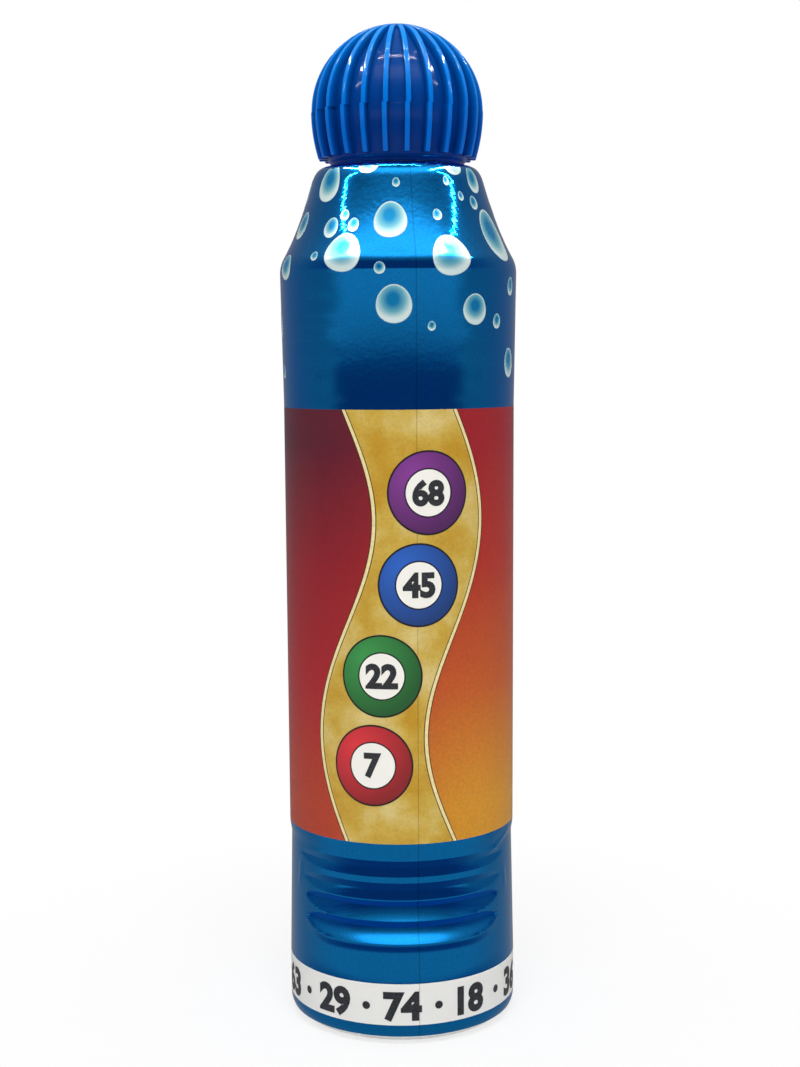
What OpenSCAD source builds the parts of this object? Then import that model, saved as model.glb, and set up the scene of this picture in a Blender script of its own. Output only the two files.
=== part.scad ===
// Bingo dauber: a bottle of ink with a sprung foam tip under a ribbed screw cap.
// The origin is the middle of the base, with +Z up, and lengths are in millimetres.

/* [Bottle] */
// Diameter of the bottle at the label panel, without its film
body_d = 37.6; // [35:0.1:42]
// Height of the shoulder's corner above the table
body_h = 126.6; // [118:0.2:140]
// Height of the sloping shoulder, from its corner to the deck under the cap
shoulder_h = 15.4; // [13:0.1:20]
// Wall thickness of the bottle
bottle_wall = 1; // [0.8:0.05:1.3]
// Radius of the heel
heel_r = 3; // [2:0.1:4]
// Width of the flat ring that the bottle stands on
foot_w = 3; // [2:0.1:5]
// Height of the hollow under the base
push_up = 2.2; // [1:0.1:3]
// Height of the straight band above the table
band_h = 10.6; // [8:0.1:12]
// How far the band stands out beyond the label panel
band_swell = 0.18; // [0.05:0.01:0.4]
// How far the waist under the label panel is drawn in
waist_in = 0.27; // [0.1:0.01:0.4]
// How far the shoulder's corner stands out beyond the label panel
shoulder_swell = 0.34; // [0.1:0.01:0.6]
// Depth of the ink's surface under the shoulder's corner
ink_drop = 16.1; // [14:0.1:80]

/* [Grip grooves] */
// Number of grooves round the waist
grip_count = 4; // [1:1:4]
// Height of the plain part between the band and the lowest groove
grip_low = 6.2; // [4:0.1:8]
// Distance from one groove to the next
grip_pitch = 3.7; // [3:0.1:4.5]
// Depth of a groove
grip_depth = 0.35; // [0.2:0.05:0.45]
// Width of the land between two grooves
grip_land = 0.5; // [0.3:0.1:1.5]
// Height of the step from the waist up to the label panel
waist_step = 2.2; // [1.5:0.1:3]
// Number of shallow ripples above the label
ripple_count = 4; // [1:1:4]
// Height of the plain part between the label panel and the lowest ripple
ripple_low = 1.8; // [1:0.1:4]
// Height of the plain part between the highest ripple and the shoulder's corner
ripple_top = 4.2; // [3:0.1:6]
// Distance from one ripple to the next
ripple_pitch = 4.2; // [3.6:0.1:5]
// Width of the land between two ripples
ripple_land = 0.6; // [0.4:0.1:1.5]
// Depth of a ripple
ripple_depth = 0.12; // [0.05:0.01:0.25]

/* [Film] */
// Thickness of the shrunk film
film_t = 0.2; // [0.1:0.05:0.3]
// Room between the bottle and the film
film_gap = 0.1; // [0.05:0.01:0.2]
// Height of the film's lower edge on the heel
film_edge = 1.6; // [1:0.1:1.9]

/* [Neck and thread] */
// Diameter of the neck at the root of its thread
neck_d = 17.6; // [17:0.1:18.4]
// Height of the thread's start above the cap's rim
thread_low = 1.65; // [1.4:0.05:2.5]
// Diameter of the bore through the neck
neck_bore_d = 13.4; // [13:0.1:14]
// Rise of the thread in one turn
lead = 3.2; // [3:0.05:3.6]
// Height of a thread above its root
thread_h = 0.95; // [0.8:0.05:1.05]
// Width of a thread at its root
thread_w = 1.7; // [1.5:0.05:1.8]
// Room between the crest of a thread and the root that it faces
thread_clear = 0.25; // [0.2:0.05:0.35]
// Room between the flanks that bear when the cap is tight
flank_clear = 0.2; // [0.15:0.05:0.3]
// Turns of thread on the neck and in the cap
thread_turns = 1.25; // [1:0.05:1.3]

/* [Cap] */
// How far the ball stands out beyond the cap's rim
ball_swell = 1.25; // [0.8:0.05:2]
// Thickness of the skirt outside its thread
skirt_wall = 1.2; // [1:0.05:1.5]
// Thickness of the dome between its ribs
dome_wall = 1.4; // [1.1:0.05:1.6]
// Number of ribs round the cap
rib_count = 24; // [16:2:32]
// Height of a rib
rib_h = 1.5; // [1:0.05:1.7]
// Width of a rib
rib_w = 0.8; // [0.5:0.05:1.1]
// Height of the plain rim under the ribs
rim_band = 0.4; // [0.2:0.1:1.5]
// Room between the cap's rim and the film on the deck
rim_gap = 0.75; // [0.4:0.05:1.2]
// Step at the parting line, where the lower half stands out
parting_step = 0.07; // [0.02:0.01:0.15]
// Turn of the lower ribs against the upper ones, clockwise from above, in degrees
parting_turn = 0.8; // [0:0.1:1.5]
// Thickness of the sealing ring in the cap
liner_t = 1; // [0.7:0.05:1.3]
// Room between the top of the tip and the inside of the dome
tip_room = 1.5; // [1:0.1:2.5]

/* [Valve] */
// Depth that the valve's cage reaches down from the top of the neck
cage_h = 16.5; // [15.5:0.1:20]
// Wall thickness of the cage
cage_wall = 1.1; // [0.9:0.05:1.3]
// Room between the cage and the bore of the neck
plug_clear = 0.1; // [0.05:0.01:0.15]
// Number of windows that let the ink into the cage
window_count = 4; // [2:1:5]
// Width of a window
window_w = 4; // [2:0.1:4.6]
// Depth of the valve seat's lower face under the top of the neck
seat_drop = 4.05; // [3.6:0.05:4.6]
// Thickness of the valve seat
seat_t = 1.4; // [1:0.1:1.6]
// Diameter of the hole in the valve seat
seat_hole_d = 6; // [5.4:0.1:6.6]
// Diameter of the valve's disc
head_d = 8.6; // [8.2:0.1:9.2]
// Thickness of the valve's disc
head_t = 0.9; // [0.7:0.1:1.3]
// Diameter of the valve's stem
stem_d = 3.2; // [2.6:0.1:3.6]
// Thickness of the rubber washer on the valve's disc
gasket_t = 0.6; // [0.4:0.05:0.8]
// Thickness of the disc that carries the spring
retainer_t = 1.2; // [0.9:0.1:1.5]
// Diameter of the spring's wire
wire_d = 0.5; // [0.4:0.05:0.6]
// Diameter of the spring at the middle of its wire
coil_d = 6.8; // [6.2:0.1:7.2]
// Turns of the spring
coil_turns = 5.5; // [4:0.25:5.5]

/* [Tip] */
// Thickness of the floor that closes the neck
floor_t = 1.2; // [0.9:0.1:1.6]
// How far the tip can be pressed in
travel = 2.2; // [1.5:0.1:2.5]
// Wall thickness of the collar round the tip
collar_wall = 0.65; // [0.5:0.05:0.8]
// Room between the tip's ring and the collar
ring_clear = 0.2; // [0.15:0.05:0.3]
// Wall thickness of the ring that clamps the cloth
ring_wall = 0.65; // [0.5:0.05:0.8]
// Thickness of the plate under the foam
plate_t = 1.2; // [0.9:0.1:1.6]
// Number of flow holes in the plate, and in the spring's disc
hole_count = 6; // [3:1:8]
// Diameter of a flow hole
hole_d = 1.4; // [1:0.1:1.6]
// Height of the foam above its plate
foam_h = 5.6; // [4.5:0.1:7]
// Height of the foam's domed top
foam_crown = 3.6; // [2.5:0.1:4]
// Thickness of the cloth over the foam
cloth_t = 0.3; // [0.2:0.05:0.4]

/* [Hidden] */
$fn = 96;

// Overrun of every cut, and room between pieces that are pressed together
overrun = 1;
press_gap = 0.03;

// Radii of the bottle
panel_r = body_d / 2;
base_r = panel_r + band_swell;
waist_r = panel_r - waist_in;
shoulder_r = panel_r + shoulder_swell;
foot_out = base_r - heel_r;
foot_in = foot_out - foot_w;
neck_r = neck_d / 2;
neck_bore_r = neck_bore_d / 2;

// Thread: the ridge on the neck faces the ridge in the cap across the same rooms
thread_r = neck_r + thread_h;
cap_bore_r = thread_r + thread_clear;
cap_crest_r = neck_r + thread_clear;
crest_share = 0.42;
crest_w = thread_w * crest_share;
thread_root = 0.4;
thread_offset = (thread_w + crest_w - (thread_w - crest_w) * thread_clear / thread_h) / 2 + flank_clear;
thread_start = 90;
thread_top_gap = 0.25;
thread_run = 40;
thread_end_share = 0.15;
thread_step = 12;

// Heights of the bottle: the label panel takes what the grooves and the ripples leave
deck_z = body_h + shoulder_h;
neck_chamfer = 0.3;
film_all = film_gap + film_t;
grip_w = grip_pitch - grip_land;
grip_z = band_h + grip_low + grip_w / 2;
waist_edge = 0.3;
waist_z = grip_z + grip_pitch * (grip_count - 1) + grip_w / 2 + waist_edge;
panel_z = waist_z + waist_step;
ripple_w = ripple_pitch - ripple_land;
ripple_z = body_h - ripple_top - ripple_w / 2 - ripple_pitch * (ripple_count - 1);
panel_top = ripple_z - ripple_w / 2 - ripple_low;

// Rim of the cap, the deck that it lines up with and the neck inside it
rim_r = cap_bore_r + skirt_wall + rib_h;
rim_z = deck_z + film_all + rim_gap;
thread_z = rim_z + thread_low;
neck_top = thread_z + lead * thread_turns + thread_w / 2 + thread_top_gap;
deck_lip = 0.4;
deck_r = rim_r + deck_lip;

// The shoulder is drawn round the corners of three straight lines
corner_soft = 1.3;
deck_soft = 2.3;
deck_soft_in = 1.3;
flare_shares = [0.52, 0.36];
film_top_share = 0.7;
shoulder_corner = [shoulder_r, body_h];
deck_corner = [deck_r, deck_z];
flare_point = [shoulder_r - (shoulder_r - deck_r) * flare_shares[0], body_h + shoulder_h * flare_shares[1]];

// Tip: rings of pieces from the collar inwards
collar_inset = 0.05;
collar_r = neck_r - collar_inset;
guide_r = collar_r - collar_wall;
ring_r = guide_r - ring_clear;
ring_in = ring_r - ring_wall;
plate_r = ring_in - cloth_t - 2 * press_gap;
tip_clear = 0.4;
cover_r = guide_r - tip_clear;
foam_r = cover_r - cloth_t - press_gap;

// Tip: heights from the floor upwards
floor_z = neck_top + floor_t;
travel_gap = 0.25;
plate_z = floor_z + travel + travel_gap;
plate_top = plate_z + plate_t;
collar_over = 0.2;
collar_top = plate_top + collar_over;
ring_over = 0.35;
ring_top = plate_top + ring_over;
foam_z = plate_top + press_gap;
foam_top = foam_z + foam_h;
cover_top = foam_top + press_gap + cloth_t;
bulge_h = 0.5;

// Valve: heights from the seat downwards
seat_z = neck_top - seat_drop;
seat_gap = 0.05;
seat_hole_r = seat_hole_d / 2;
gasket_z = seat_z - seat_gap - gasket_t;
head_z = gasket_z - head_t;
head_r = head_d / 2;
gasket_inset = 0.1;
stem_r = stem_d / 2;
stem_in = 0.35;
hub_wall = 1.4;
hub_h = 1.6;
cage_r = neck_bore_r - plug_clear;
cage_in = cage_r - cage_wall;
cage_z = neck_top - cage_h;
lip_h = 0.5;
lip_w = 0.5;
retainer_z = cage_z + lip_h + press_gap;
retainer_r = cage_in - plug_clear;
retainer_top = retainer_z + retainer_t;
boss_clear = 0.25;
boss_r = (coil_d - wire_d) / 2 - boss_clear;
boss_h = 1;
retainer_hole_r = (coil_d / 2 + wire_d / 2 + retainer_r) / 2;
plate_hole_r = (stem_r + hub_wall + plate_r) / 2;
window_edge = 0.6;
window_z = retainer_top + window_edge;
window_h = deck_z - bottle_wall - window_edge - window_z;

// Spring between the disc and the valve
spring_gap = 0.08;
coil_z = retainer_top + spring_gap + wire_d / 2;
coil_h = head_z - spring_gap - wire_d / 2 - coil_z;
coil_rings = 8;
coil_sides = 6;

// Cap: the ball sits so that its dome clears the tip
ball_r = rim_r + ball_swell;
ball_d = 2 * ball_r;
dome_in = ball_r - rib_h - dome_wall;
ball_z = cover_top + tip_room - dome_in;
skirt_share = 0.5;
liner_gap = 0.08;
liner_z = collar_top + liner_gap;
ledge_z = liner_z + liner_t + liner_gap;
liner_clear = 0.2;
liner_r = cap_bore_r - liner_clear;
liner_in = guide_r + ring_clear;
ledge_r = (liner_in + liner_r) / 2;
bead_r = 0.35;
bead_z = liner_z - liner_gap - bead_r;
ink_gap = 0.3;

// Points of a curve that leaves p towards q and reaches r from q; the first can be left out
function bend(p, q, r, n, first = 0) =
    [for (i = [first : n]) let (t = i / n) (1 - t) ^ 2 * p + 2 * t * (1 - t) * q + t ^ 2 * r];

// The point that lies a length d from p towards q
function toward(p, q, d) = p + (q - p) * d / norm(q - p);

// A line of points moved sideways by g, to the right of its direction
function shifted(pts, g) =
    let (last = len(pts) - 1)
    let (sides = [for (i = [0 : last - 1]) let (d = pts[i + 1] - pts[i]) [d.y, -d.x] / norm(d)])
    [for (i = [0 : last])
        let (a = sides[max(i - 1, 0)], b = sides[min(i, last - 1)])
        pts[i] + g * (a + b) / (1 + a * b)];

function reversed(pts) = [for (i = [len(pts) - 1 : -1 : 0]) pts[i]];

// Outline of the base: the hollow and the ring that the bottle stands on
function base_line(n = 6) = [for (i = [0 : n]) let (t = i / n) [foot_in * t, push_up * (1 - t ^ 2)]];

// Points of a row of grooves cut into the straight line from p up to q, with the ends of the line
function grooved(p, q, count, z0, pitch, width, depth) = concat(
    [p],
    [for (i = [0 : count - 1], k = [0 : 8])
        let (u = k / 4 - 1, z = z0 + i * pitch + u * width / 2)
        [lookup(z, [[p.y, p.x], [q.y, q.x]]) - depth * (1 - u ^ 2), z]],
    [q]);

// Outline from the heel, starting at angle a0, to the deck, ending at share t1 of its corner
function side_line(a0, t1, waist, swell) = concat(
    [for (i = [0 : 9]) let (a = a0 + (90 - a0) * i / 9) [foot_out + heel_r * sin(a), heel_r * (1 - cos(a))]],
    waist,
    swell,
    bend(swell_end, shoulder_corner, toward(shoulder_corner, flare_point, corner_soft), 6, 1),
    bend(toward(shoulder_corner, flare_point, corner_soft), flare_point,
         toward(deck_corner, flare_point, deck_soft), 12, 1),
    deck_bend(t1));

band_end = [base_r, band_h];
waist_end = [waist_r, waist_z];
panel_end = [panel_r, panel_top];
swell_end = toward(shoulder_corner, [shoulder_r, 0], corner_soft);

// The outside has its grooves, and the inside is smooth
function outside_line(a0, t1) = side_line(a0, t1,
    concat(grooved(band_end, waist_end, grip_count, grip_z, grip_pitch, grip_w, grip_depth),
           [[panel_r, panel_z]]),
    grooved(panel_end, swell_end, ripple_count, ripple_z, ripple_pitch, ripple_w, ripple_depth));

function inside_line() = side_line(0, 1, [band_end, waist_end, [panel_r, panel_z]], [panel_end, swell_end]);

function deck_bend(t1) =
    let (whole = bend(toward(deck_corner, flare_point, deck_soft), deck_corner,
                      toward(deck_corner, [0, deck_z], deck_soft_in), 10, 1))
    [for (i = [0 : round((len(whole) - 1) * t1)]) whole[i]];

// Helical ridge from radius root to radius crest; z0 is the height of its middle at angle 0
module ridge(root, crest, z0, a0) {
    turn = 360 * thread_turns;
    steps = ceil(turn / thread_step);
    pts = [for (i = [0 : steps])
        let (a = turn * i / steps, f = max(thread_end_share, min(1, a / thread_run, (turn - a) / thread_run)))
        let (top = root + (crest - root) * f, z = z0 + lead * (a + a0) / 360)
        for (k = [[root, -thread_w], [top, -crest_w], [top, crest_w], [root, thread_w]])
            [k[0] * cos(a + a0), k[0] * sin(a + a0), z + k[1] / 2]];
    walls = [for (i = [0 : steps - 1], k = [0 : 3])
        let (p = 4 * i + k, q = 4 * i + (k + 1) % 4)
        for (face = [[p, q, q + 4], [p, q + 4, p + 4]]) face];
    ends = [[0, 3, 2], [0, 2, 1], [4 * steps, 4 * steps + 1, 4 * steps + 2],
            [4 * steps, 4 * steps + 2, 4 * steps + 3]];
    faces = concat(walls, ends);
    polyhedron(pts, crest > root ? faces : [for (f = faces) reversed(f)]);
}

module bottle() {
    outer = concat(base_line(), outside_line(0, 1));
    inner = shifted(concat(base_line(), inside_line()), -bottle_wall);
    color("#F2F1EC")
    union() {
        rotate_extrude()
            polygon(concat(outer,
                [[neck_r, deck_z], [neck_r, neck_top - neck_chamfer], [neck_r - neck_chamfer, neck_top],
                 [neck_bore_r + neck_chamfer, neck_top], [neck_bore_r, neck_top - neck_chamfer],
                 [neck_bore_r, deck_z - bottle_wall]],
                reversed(inner)));
        ridge(neck_r - thread_root, thread_r, thread_z, 0);
    }
}

module shrink_sleeve() {
    line = outside_line(acos(1 - film_edge / heel_r), film_top_share);
    color("#0B63AE")
    rotate_extrude()
        polygon(concat(shifted(line, film_all), reversed(shifted(line, film_gap))));
}

module ink_fill() {
    inside = shifted(concat(base_line(), inside_line()), -bottle_wall - ink_gap);
    top = inside[len(inside) - 1];
    color("#0A2F9E")
    intersection() {
        rotate_extrude()
            polygon(concat(inside, [[0, top.y]]));
        cylinder(r = body_d, h = body_h - ink_drop);
    }
}

module valve_housing() {
    color("#E9EBEA")
    difference() {
        rotate_extrude()
            polygon([[cage_in - lip_w, cage_z], [cage_r, cage_z], [cage_r, neck_top], [collar_r, neck_top],
                     [collar_r, collar_top], [guide_r, collar_top], [guide_r, floor_z], [cage_in, floor_z],
                     [cage_in, seat_z + seat_t], [seat_hole_r, seat_z + seat_t], [seat_hole_r, seat_z],
                     [cage_in, seat_z], [cage_in, cage_z + lip_h], [cage_in - lip_w, cage_z + lip_h]]);
        for (i = [0 : window_count - 1])
            rotate(360 * i / window_count)
                translate([0, -window_w / 2, window_z])
                    cube([cage_r + overrun, window_w, window_h]);
    }
}

// Ring of holes through a disc that spans z to z + t
module flow_holes(ring, z, t) {
    for (i = [0 : hole_count - 1])
        rotate(360 * i / hole_count)
            translate([ring, 0, z - overrun])
                cylinder(d = hole_d, h = t + 2 * overrun);
}

module spring_retainer() {
    color("#E9EBEA")
    difference() {
        union() {
            translate([0, 0, retainer_z])
                cylinder(r = retainer_r, h = retainer_t);
            translate([0, 0, retainer_z])
                cylinder(r = boss_r, h = retainer_t + boss_h);
        }
        flow_holes(retainer_hole_r, retainer_z, retainer_t);
        translate([0, 0, retainer_z - overrun])
            cylinder(d = hole_d, h = retainer_t + boss_h + 2 * overrun);
    }
}

// Middle of the wire after a number of turns
function coil_at(t) =
    [coil_d / 2 * cos(360 * t), coil_d / 2 * sin(360 * t), coil_z + coil_h * t / coil_turns];

coil_steps = round(coil_turns * coil_rings);
coil_path = [for (i = [0 : coil_steps]) coil_at(coil_turns * i / coil_steps)];
coil_self_gap = min([for (i = [0 : coil_steps - coil_rings + 1], j = [i + coil_rings - 1 : coil_steps])
    norm(coil_path[i] - coil_path[j])]) - wire_d;
echo(spring_gap_to_itself = coil_self_gap);

module valve_spring() {
    pts = [for (i = [0 : coil_steps], k = [0 : coil_sides - 1])
        let (a = 360 * coil_turns * i / coil_steps, b = 360 * k / coil_sides)
        coil_path[i] + wire_d / 2 * [cos(b) * cos(a), cos(b) * sin(a), sin(b)]];
    walls = [for (i = [0 : coil_steps - 1], k = [0 : coil_sides - 1])
        let (p = coil_sides * i + k, q = coil_sides * i + (k + 1) % coil_sides)
        for (face = [[p, q, q + coil_sides], [p, q + coil_sides, p + coil_sides]]) face];
    last = coil_sides * coil_steps;
    ends = [for (k = [1 : coil_sides - 2], face = [[0, k + 1, k], [last, last + k, last + k + 1]]) face];
    color("#B9BCC0")
    polyhedron(pts, concat(walls, ends));
}

module valve_stem() {
    stem_top = plate_z + stem_in;
    color("#DDE0E0")
    rotate_extrude()
        polygon([[0, head_z - boss_h], [boss_r, head_z - boss_h], [boss_r, head_z], [head_r, head_z],
                 [head_r, gasket_z], [stem_r, gasket_z], [stem_r, stem_top], [0, stem_top]]);
}

module valve_gasket() {
    color("#2B2B2D")
    difference() {
        translate([0, 0, gasket_z])
            cylinder(r = head_r - gasket_inset, h = gasket_t);
        translate([0, 0, gasket_z - overrun])
            cylinder(r = stem_r + press_gap, h = gasket_t + 2 * overrun);
    }
}

module tip_plate() {
    hub_r = stem_r + hub_wall;
    socket_r = stem_r + press_gap;
    socket_z = plate_z + stem_in + press_gap;
    color("#E4E6E6")
    difference() {
        rotate_extrude()
            polygon([[socket_r, plate_z - hub_h], [hub_r, plate_z - hub_h], [hub_r, plate_z],
                     [plate_r, plate_z], [plate_r, plate_top], [0, plate_top],
                     [0, socket_z], [socket_r, socket_z]]);
        flow_holes(plate_hole_r, plate_z, plate_t);
    }
}

module tip_clamp_ring() {
    color("#F4F4F0")
    difference() {
        translate([0, 0, plate_z])
            cylinder(r = ring_r, h = ring_top - plate_z);
        translate([0, 0, plate_z - overrun])
            cylinder(r = ring_in, h = ring_top - plate_z + 2 * overrun);
    }
}

// Outline of the foam from its lower edge to the middle of its crown, moved outwards by g
function foam_line(g) =
    let (low_r = plate_r - press_gap, crown_z = foam_top - foam_crown)
    shifted(concat([[low_r, ring_top], [foam_r, ring_top + bulge_h]],
                   [for (i = [0 : 15]) let (a = 90 * i / 16)
                       [foam_r * cos(a), crown_z + foam_crown * sin(a)]],
                   [[0, foam_top]]), g);

module foam_tip() {
    color("#F7F5EE")
    rotate_extrude()
        polygon(concat([[0, foam_z], [plate_r - press_gap, foam_z]], foam_line(0)));
}

module tip_cover() {
    inside = foam_line(press_gap);
    outside = foam_line(press_gap + cloth_t);
    hem_in = plate_r + press_gap;
    color("#EFEDE6")
    rotate_extrude()
        polygon(concat([[hem_in, plate_z], [hem_in + cloth_t, plate_z], [hem_in + cloth_t, ring_top]],
                       [for (i = [1 : len(outside) - 1]) outside[i]],
                       [for (i = [len(inside) - 1 : -1 : 1]) inside[i]],
                       [[hem_in, ring_top]]));
}

module cap_liner() {
    color("#F5F5F5")
    difference() {
        translate([0, 0, liner_z])
            cylinder(r = liner_r, h = liner_t);
        translate([0, 0, liner_z - overrun])
            cylinder(r = liner_in, h = liner_t + 2 * overrun);
    }
}

// Lower half of the ball, from the height z up; inset from the tops of the ribs
module ball_skirt(inset, z) {
    wide = ball_r + parting_step - inset;
    low = [rim_r - inset, rim_z];
    intersection() {
        rotate_extrude()
            polygon(concat([[0, rim_z]],
                           bend(low, [wide, ball_z - (ball_z - rim_z) * skirt_share], [wide, ball_z], 8),
                           [[0, ball_z]]));
        translate([0, 0, z])
            cylinder(r = ball_d, h = ball_d);
    }
}

module ball_dome(inset) {
    translate([0, 0, ball_z])
        intersection() {
            sphere(r = ball_r - inset);
            cylinder(r = ball_d, h = ball_d);
        }
}

// Blades that stand along the cap, each making two ribs
module rib_blades(turn) {
    for (i = [0 : rib_count / 2 - 1])
        rotate(turn + 360 * (i + 1 / 2) / rib_count)
            translate([-ball_d, -rib_w / 2, 0])
                cube([2 * ball_d, rib_w, ball_z + ball_d]);
}

module cap_cavity() {
    translate([0, 0, rim_z - overrun])
        cylinder(r = cap_bore_r, h = ledge_z - rim_z + overrun);
    intersection() {
        translate([0, 0, ball_z])
            sphere(r = dome_in);
        translate([0, 0, ledge_z - overrun])
            cylinder(r = ledge_r, h = ball_d);
    }
}

module cap_shell() {
    color("#0B54B9")
    union() {
        difference() {
            union() {
                ball_skirt(rib_h, rim_z);
                ball_dome(rib_h);
                intersection() {
                    ball_skirt(0, rim_z + rim_band);
                    rib_blades(-parting_turn);
                }
                intersection() {
                    ball_dome(0);
                    rib_blades(0);
                }
            }
            cap_cavity();
        }
        ridge(cap_bore_r + thread_root, cap_crest_r, thread_z - thread_offset, thread_start);
        translate([0, 0, bead_z])
            rotate_extrude()
                translate([cap_bore_r, 0])
                    circle(r = bead_r);
    }
}

bottle();
shrink_sleeve();
ink_fill();
valve_housing();
spring_retainer();
valve_spring();
valve_stem();
valve_gasket();
tip_plate();
tip_clamp_ring();
foam_tip();
tip_cover();
cap_liner();
cap_shell();
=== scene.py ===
from math import acos, asin, cos, degrees, exp, hypot, pi, radians, sin, sqrt

import bmesh
import bpy
from mathutils import Matrix, Quaternion, Vector


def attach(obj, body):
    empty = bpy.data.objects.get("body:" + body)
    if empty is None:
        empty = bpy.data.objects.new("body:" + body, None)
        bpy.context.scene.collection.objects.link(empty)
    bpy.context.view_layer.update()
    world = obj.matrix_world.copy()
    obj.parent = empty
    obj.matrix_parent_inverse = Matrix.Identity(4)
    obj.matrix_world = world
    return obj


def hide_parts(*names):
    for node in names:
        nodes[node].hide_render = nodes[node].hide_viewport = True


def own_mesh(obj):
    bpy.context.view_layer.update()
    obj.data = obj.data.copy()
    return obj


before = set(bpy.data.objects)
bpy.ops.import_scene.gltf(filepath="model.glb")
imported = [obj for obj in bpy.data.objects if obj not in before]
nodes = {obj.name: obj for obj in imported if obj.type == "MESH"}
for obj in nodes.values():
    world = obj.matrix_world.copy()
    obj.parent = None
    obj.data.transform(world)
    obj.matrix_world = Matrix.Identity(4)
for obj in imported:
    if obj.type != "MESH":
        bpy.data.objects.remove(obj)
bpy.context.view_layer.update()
scene = bpy.context.scene
mm = 0.001
print("frame loaded:", len(nodes), "CAD nodes")


def tint(hexColour):  # sRGB hex to linear colour
    parts = [int(hexColour[i:i + 2], 16) / 255 for i in (1, 3, 5)]
    return [p / 12.92 if p <= 0.04045 else ((p + 0.055) / 1.055) ** 2.4 for p in parts] + [1.0]


def feed(node, values):  # links the sockets and sets the other values, with colours as hex
    for name, value in values.items():
        if isinstance(value, bpy.types.NodeSocket):
            node.id_data.links.new(value, node.inputs[name])
        else:
            isColour = isinstance(value, str) and value.startswith("#")
            node.inputs[name].default_value = tint(value) if isColour else value


def addNode(tree, kind, inputs=None, output=0, **settings):  # returns one output, or all of them for None
    node = tree.nodes.new(kind)
    for name, value in settings.items():
        setattr(node, name, value)
    feed(node, inputs or {})
    return node.outputs if output is None else node.outputs[output]


def startMaterial(name, constants):
    material = bpy.data.materials.new(name)
    material.use_nodes = True
    tree = material.node_tree
    shader = tree.nodes["Principled BSDF"]
    feed(shader, constants)
    return material, tree, shader


def turnOf(xyz):  # angle from the front, round Z
    tree = xyz["X"].id_data
    ahead = addNode(tree, "ShaderNodeMath", {0: xyz["Y"], 1: -1.0}, operation="MULTIPLY")
    return addNode(tree, "ShaderNodeMath", {0: xyz["X"], 1: ahead}, operation="ARCTAN2")


def setStops(colour, stops, interpolation="LINEAR"):  # stops of a colour ramp: place from 0 to 1, colour
    ramp = colour.node.color_ramp
    ramp.interpolation = interpolation
    ramp.elements.remove(ramp.elements[-1])
    for i, (place, shade) in enumerate(stops):
        element = ramp.elements[0] if i == 0 else ramp.elements.new(place)
        element.position = place
        element.color = tint(shade) if isinstance(shade, str) else shade
    return colour


channels = {"red": (1, 0, 0, 1), "green": (0, 1, 0, 1), "blue": (0, 0, 1, 1), "none": (0, 0, 0, 1)}


def zonesOf(value, top, edges):  # edges: where a zone begins and its channel; a mask for each channel
    tree = value.id_data
    share = addNode(tree, "ShaderNodeMath", {0: value, 1: top}, operation="DIVIDE")
    colour = addNode(tree, "ShaderNodeValToRGB", {0: share})
    setStops(colour, [(place / top, channels[name]) for place, name in edges], "CONSTANT")
    return addNode(tree, "ShaderNodeSeparateColor", {0: colour}, None)


def addObject(name, data):
    made = bpy.data.objects.new(name, data)
    scene.collection.objects.link(made)
    return made


def clamp(value, low=0.0, high=1.0):
    return max(low, min(high, value))


def ease(value):
    value = clamp(value)
    return value * value * (3 - 2 * value)


def asPiece(name, mesh, body, material, replaced=(), sharp=35):
    mesh.materials.clear()
    mesh.materials.append(material)
    mesh.shade_smooth()
    mesh.set_sharp_from_angle(angle=radians(sharp))
    piece = addObject(name, mesh)
    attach(piece, body)
    if replaced:
        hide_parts(*replaced)
    return piece


def meshFrom(bm, name, recalc=True):
    if recalc:
        bmesh.ops.recalc_face_normals(bm, faces=bm.faces)
    mesh = bpy.data.meshes.new(name)
    bm.to_mesh(mesh)
    bm.free()
    return mesh


def lathe(outline, columns, closed=True, wave=None):  # outline: radius and height in mm
    bm = bmesh.new()
    rings = []
    for k, (r, z) in enumerate(outline):
        ring = []
        for i in range(columns if r > 1e-6 else 1):
            a = 2 * pi * i / columns
            rr = r + (wave(k, a) if wave and r > 1e-6 else 0)
            ring.append(bm.verts.new((rr * mm * sin(a), -rr * mm * cos(a), z * mm)))
        rings.append(ring)
    for low, high in zip(rings, rings[1:] + (rings[:1] if closed else [])):
        for i in range(columns):
            j = (i + 1) % columns
            corners = [low[i % len(low)], low[j % len(low)], high[j % len(high)], high[i % len(high)]]
            corners = [c for k, c in enumerate(corners) if c not in corners[:k]]
            if len(corners) > 2:
                bm.faces.new(corners)
    return bm


def bend(p, q, r, count):  # leaves p towards q and reaches r from q
    steps = [i / count for i in range(count + 1)]
    return [p * (1 - t) ** 2 + q * 2 * t * (1 - t) + r * t * t for t in steps]


def toward(p, q, length):
    return p + (q - p).normalized() * length


def arc(x, y, r, begin, end, count):  # points on a circle from one angle to another
    angles = [begin + (end - begin) * i / count for i in range(count + 1)]
    return [(x + r * cos(a), y + r * sin(a)) for a in angles]


def bridge(bm, rings):  # a tube through rings of the same length, closed at both ends
    for low, high in zip(rings, rings[1:]):
        for i in range(len(low)):
            j = (i + 1) % len(low)
            bm.faces.new((low[i], low[j], high[j], high[i]))
    bm.faces.new(rings[0])
    bm.faces.new(rings[-1][::-1])


def evaluated(source):  # the mesh that an object makes
    bpy.context.view_layer.update()
    return bpy.data.meshes.new_from_object(source.evaluated_get(bpy.context.evaluated_depsgraph_get()))


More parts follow.
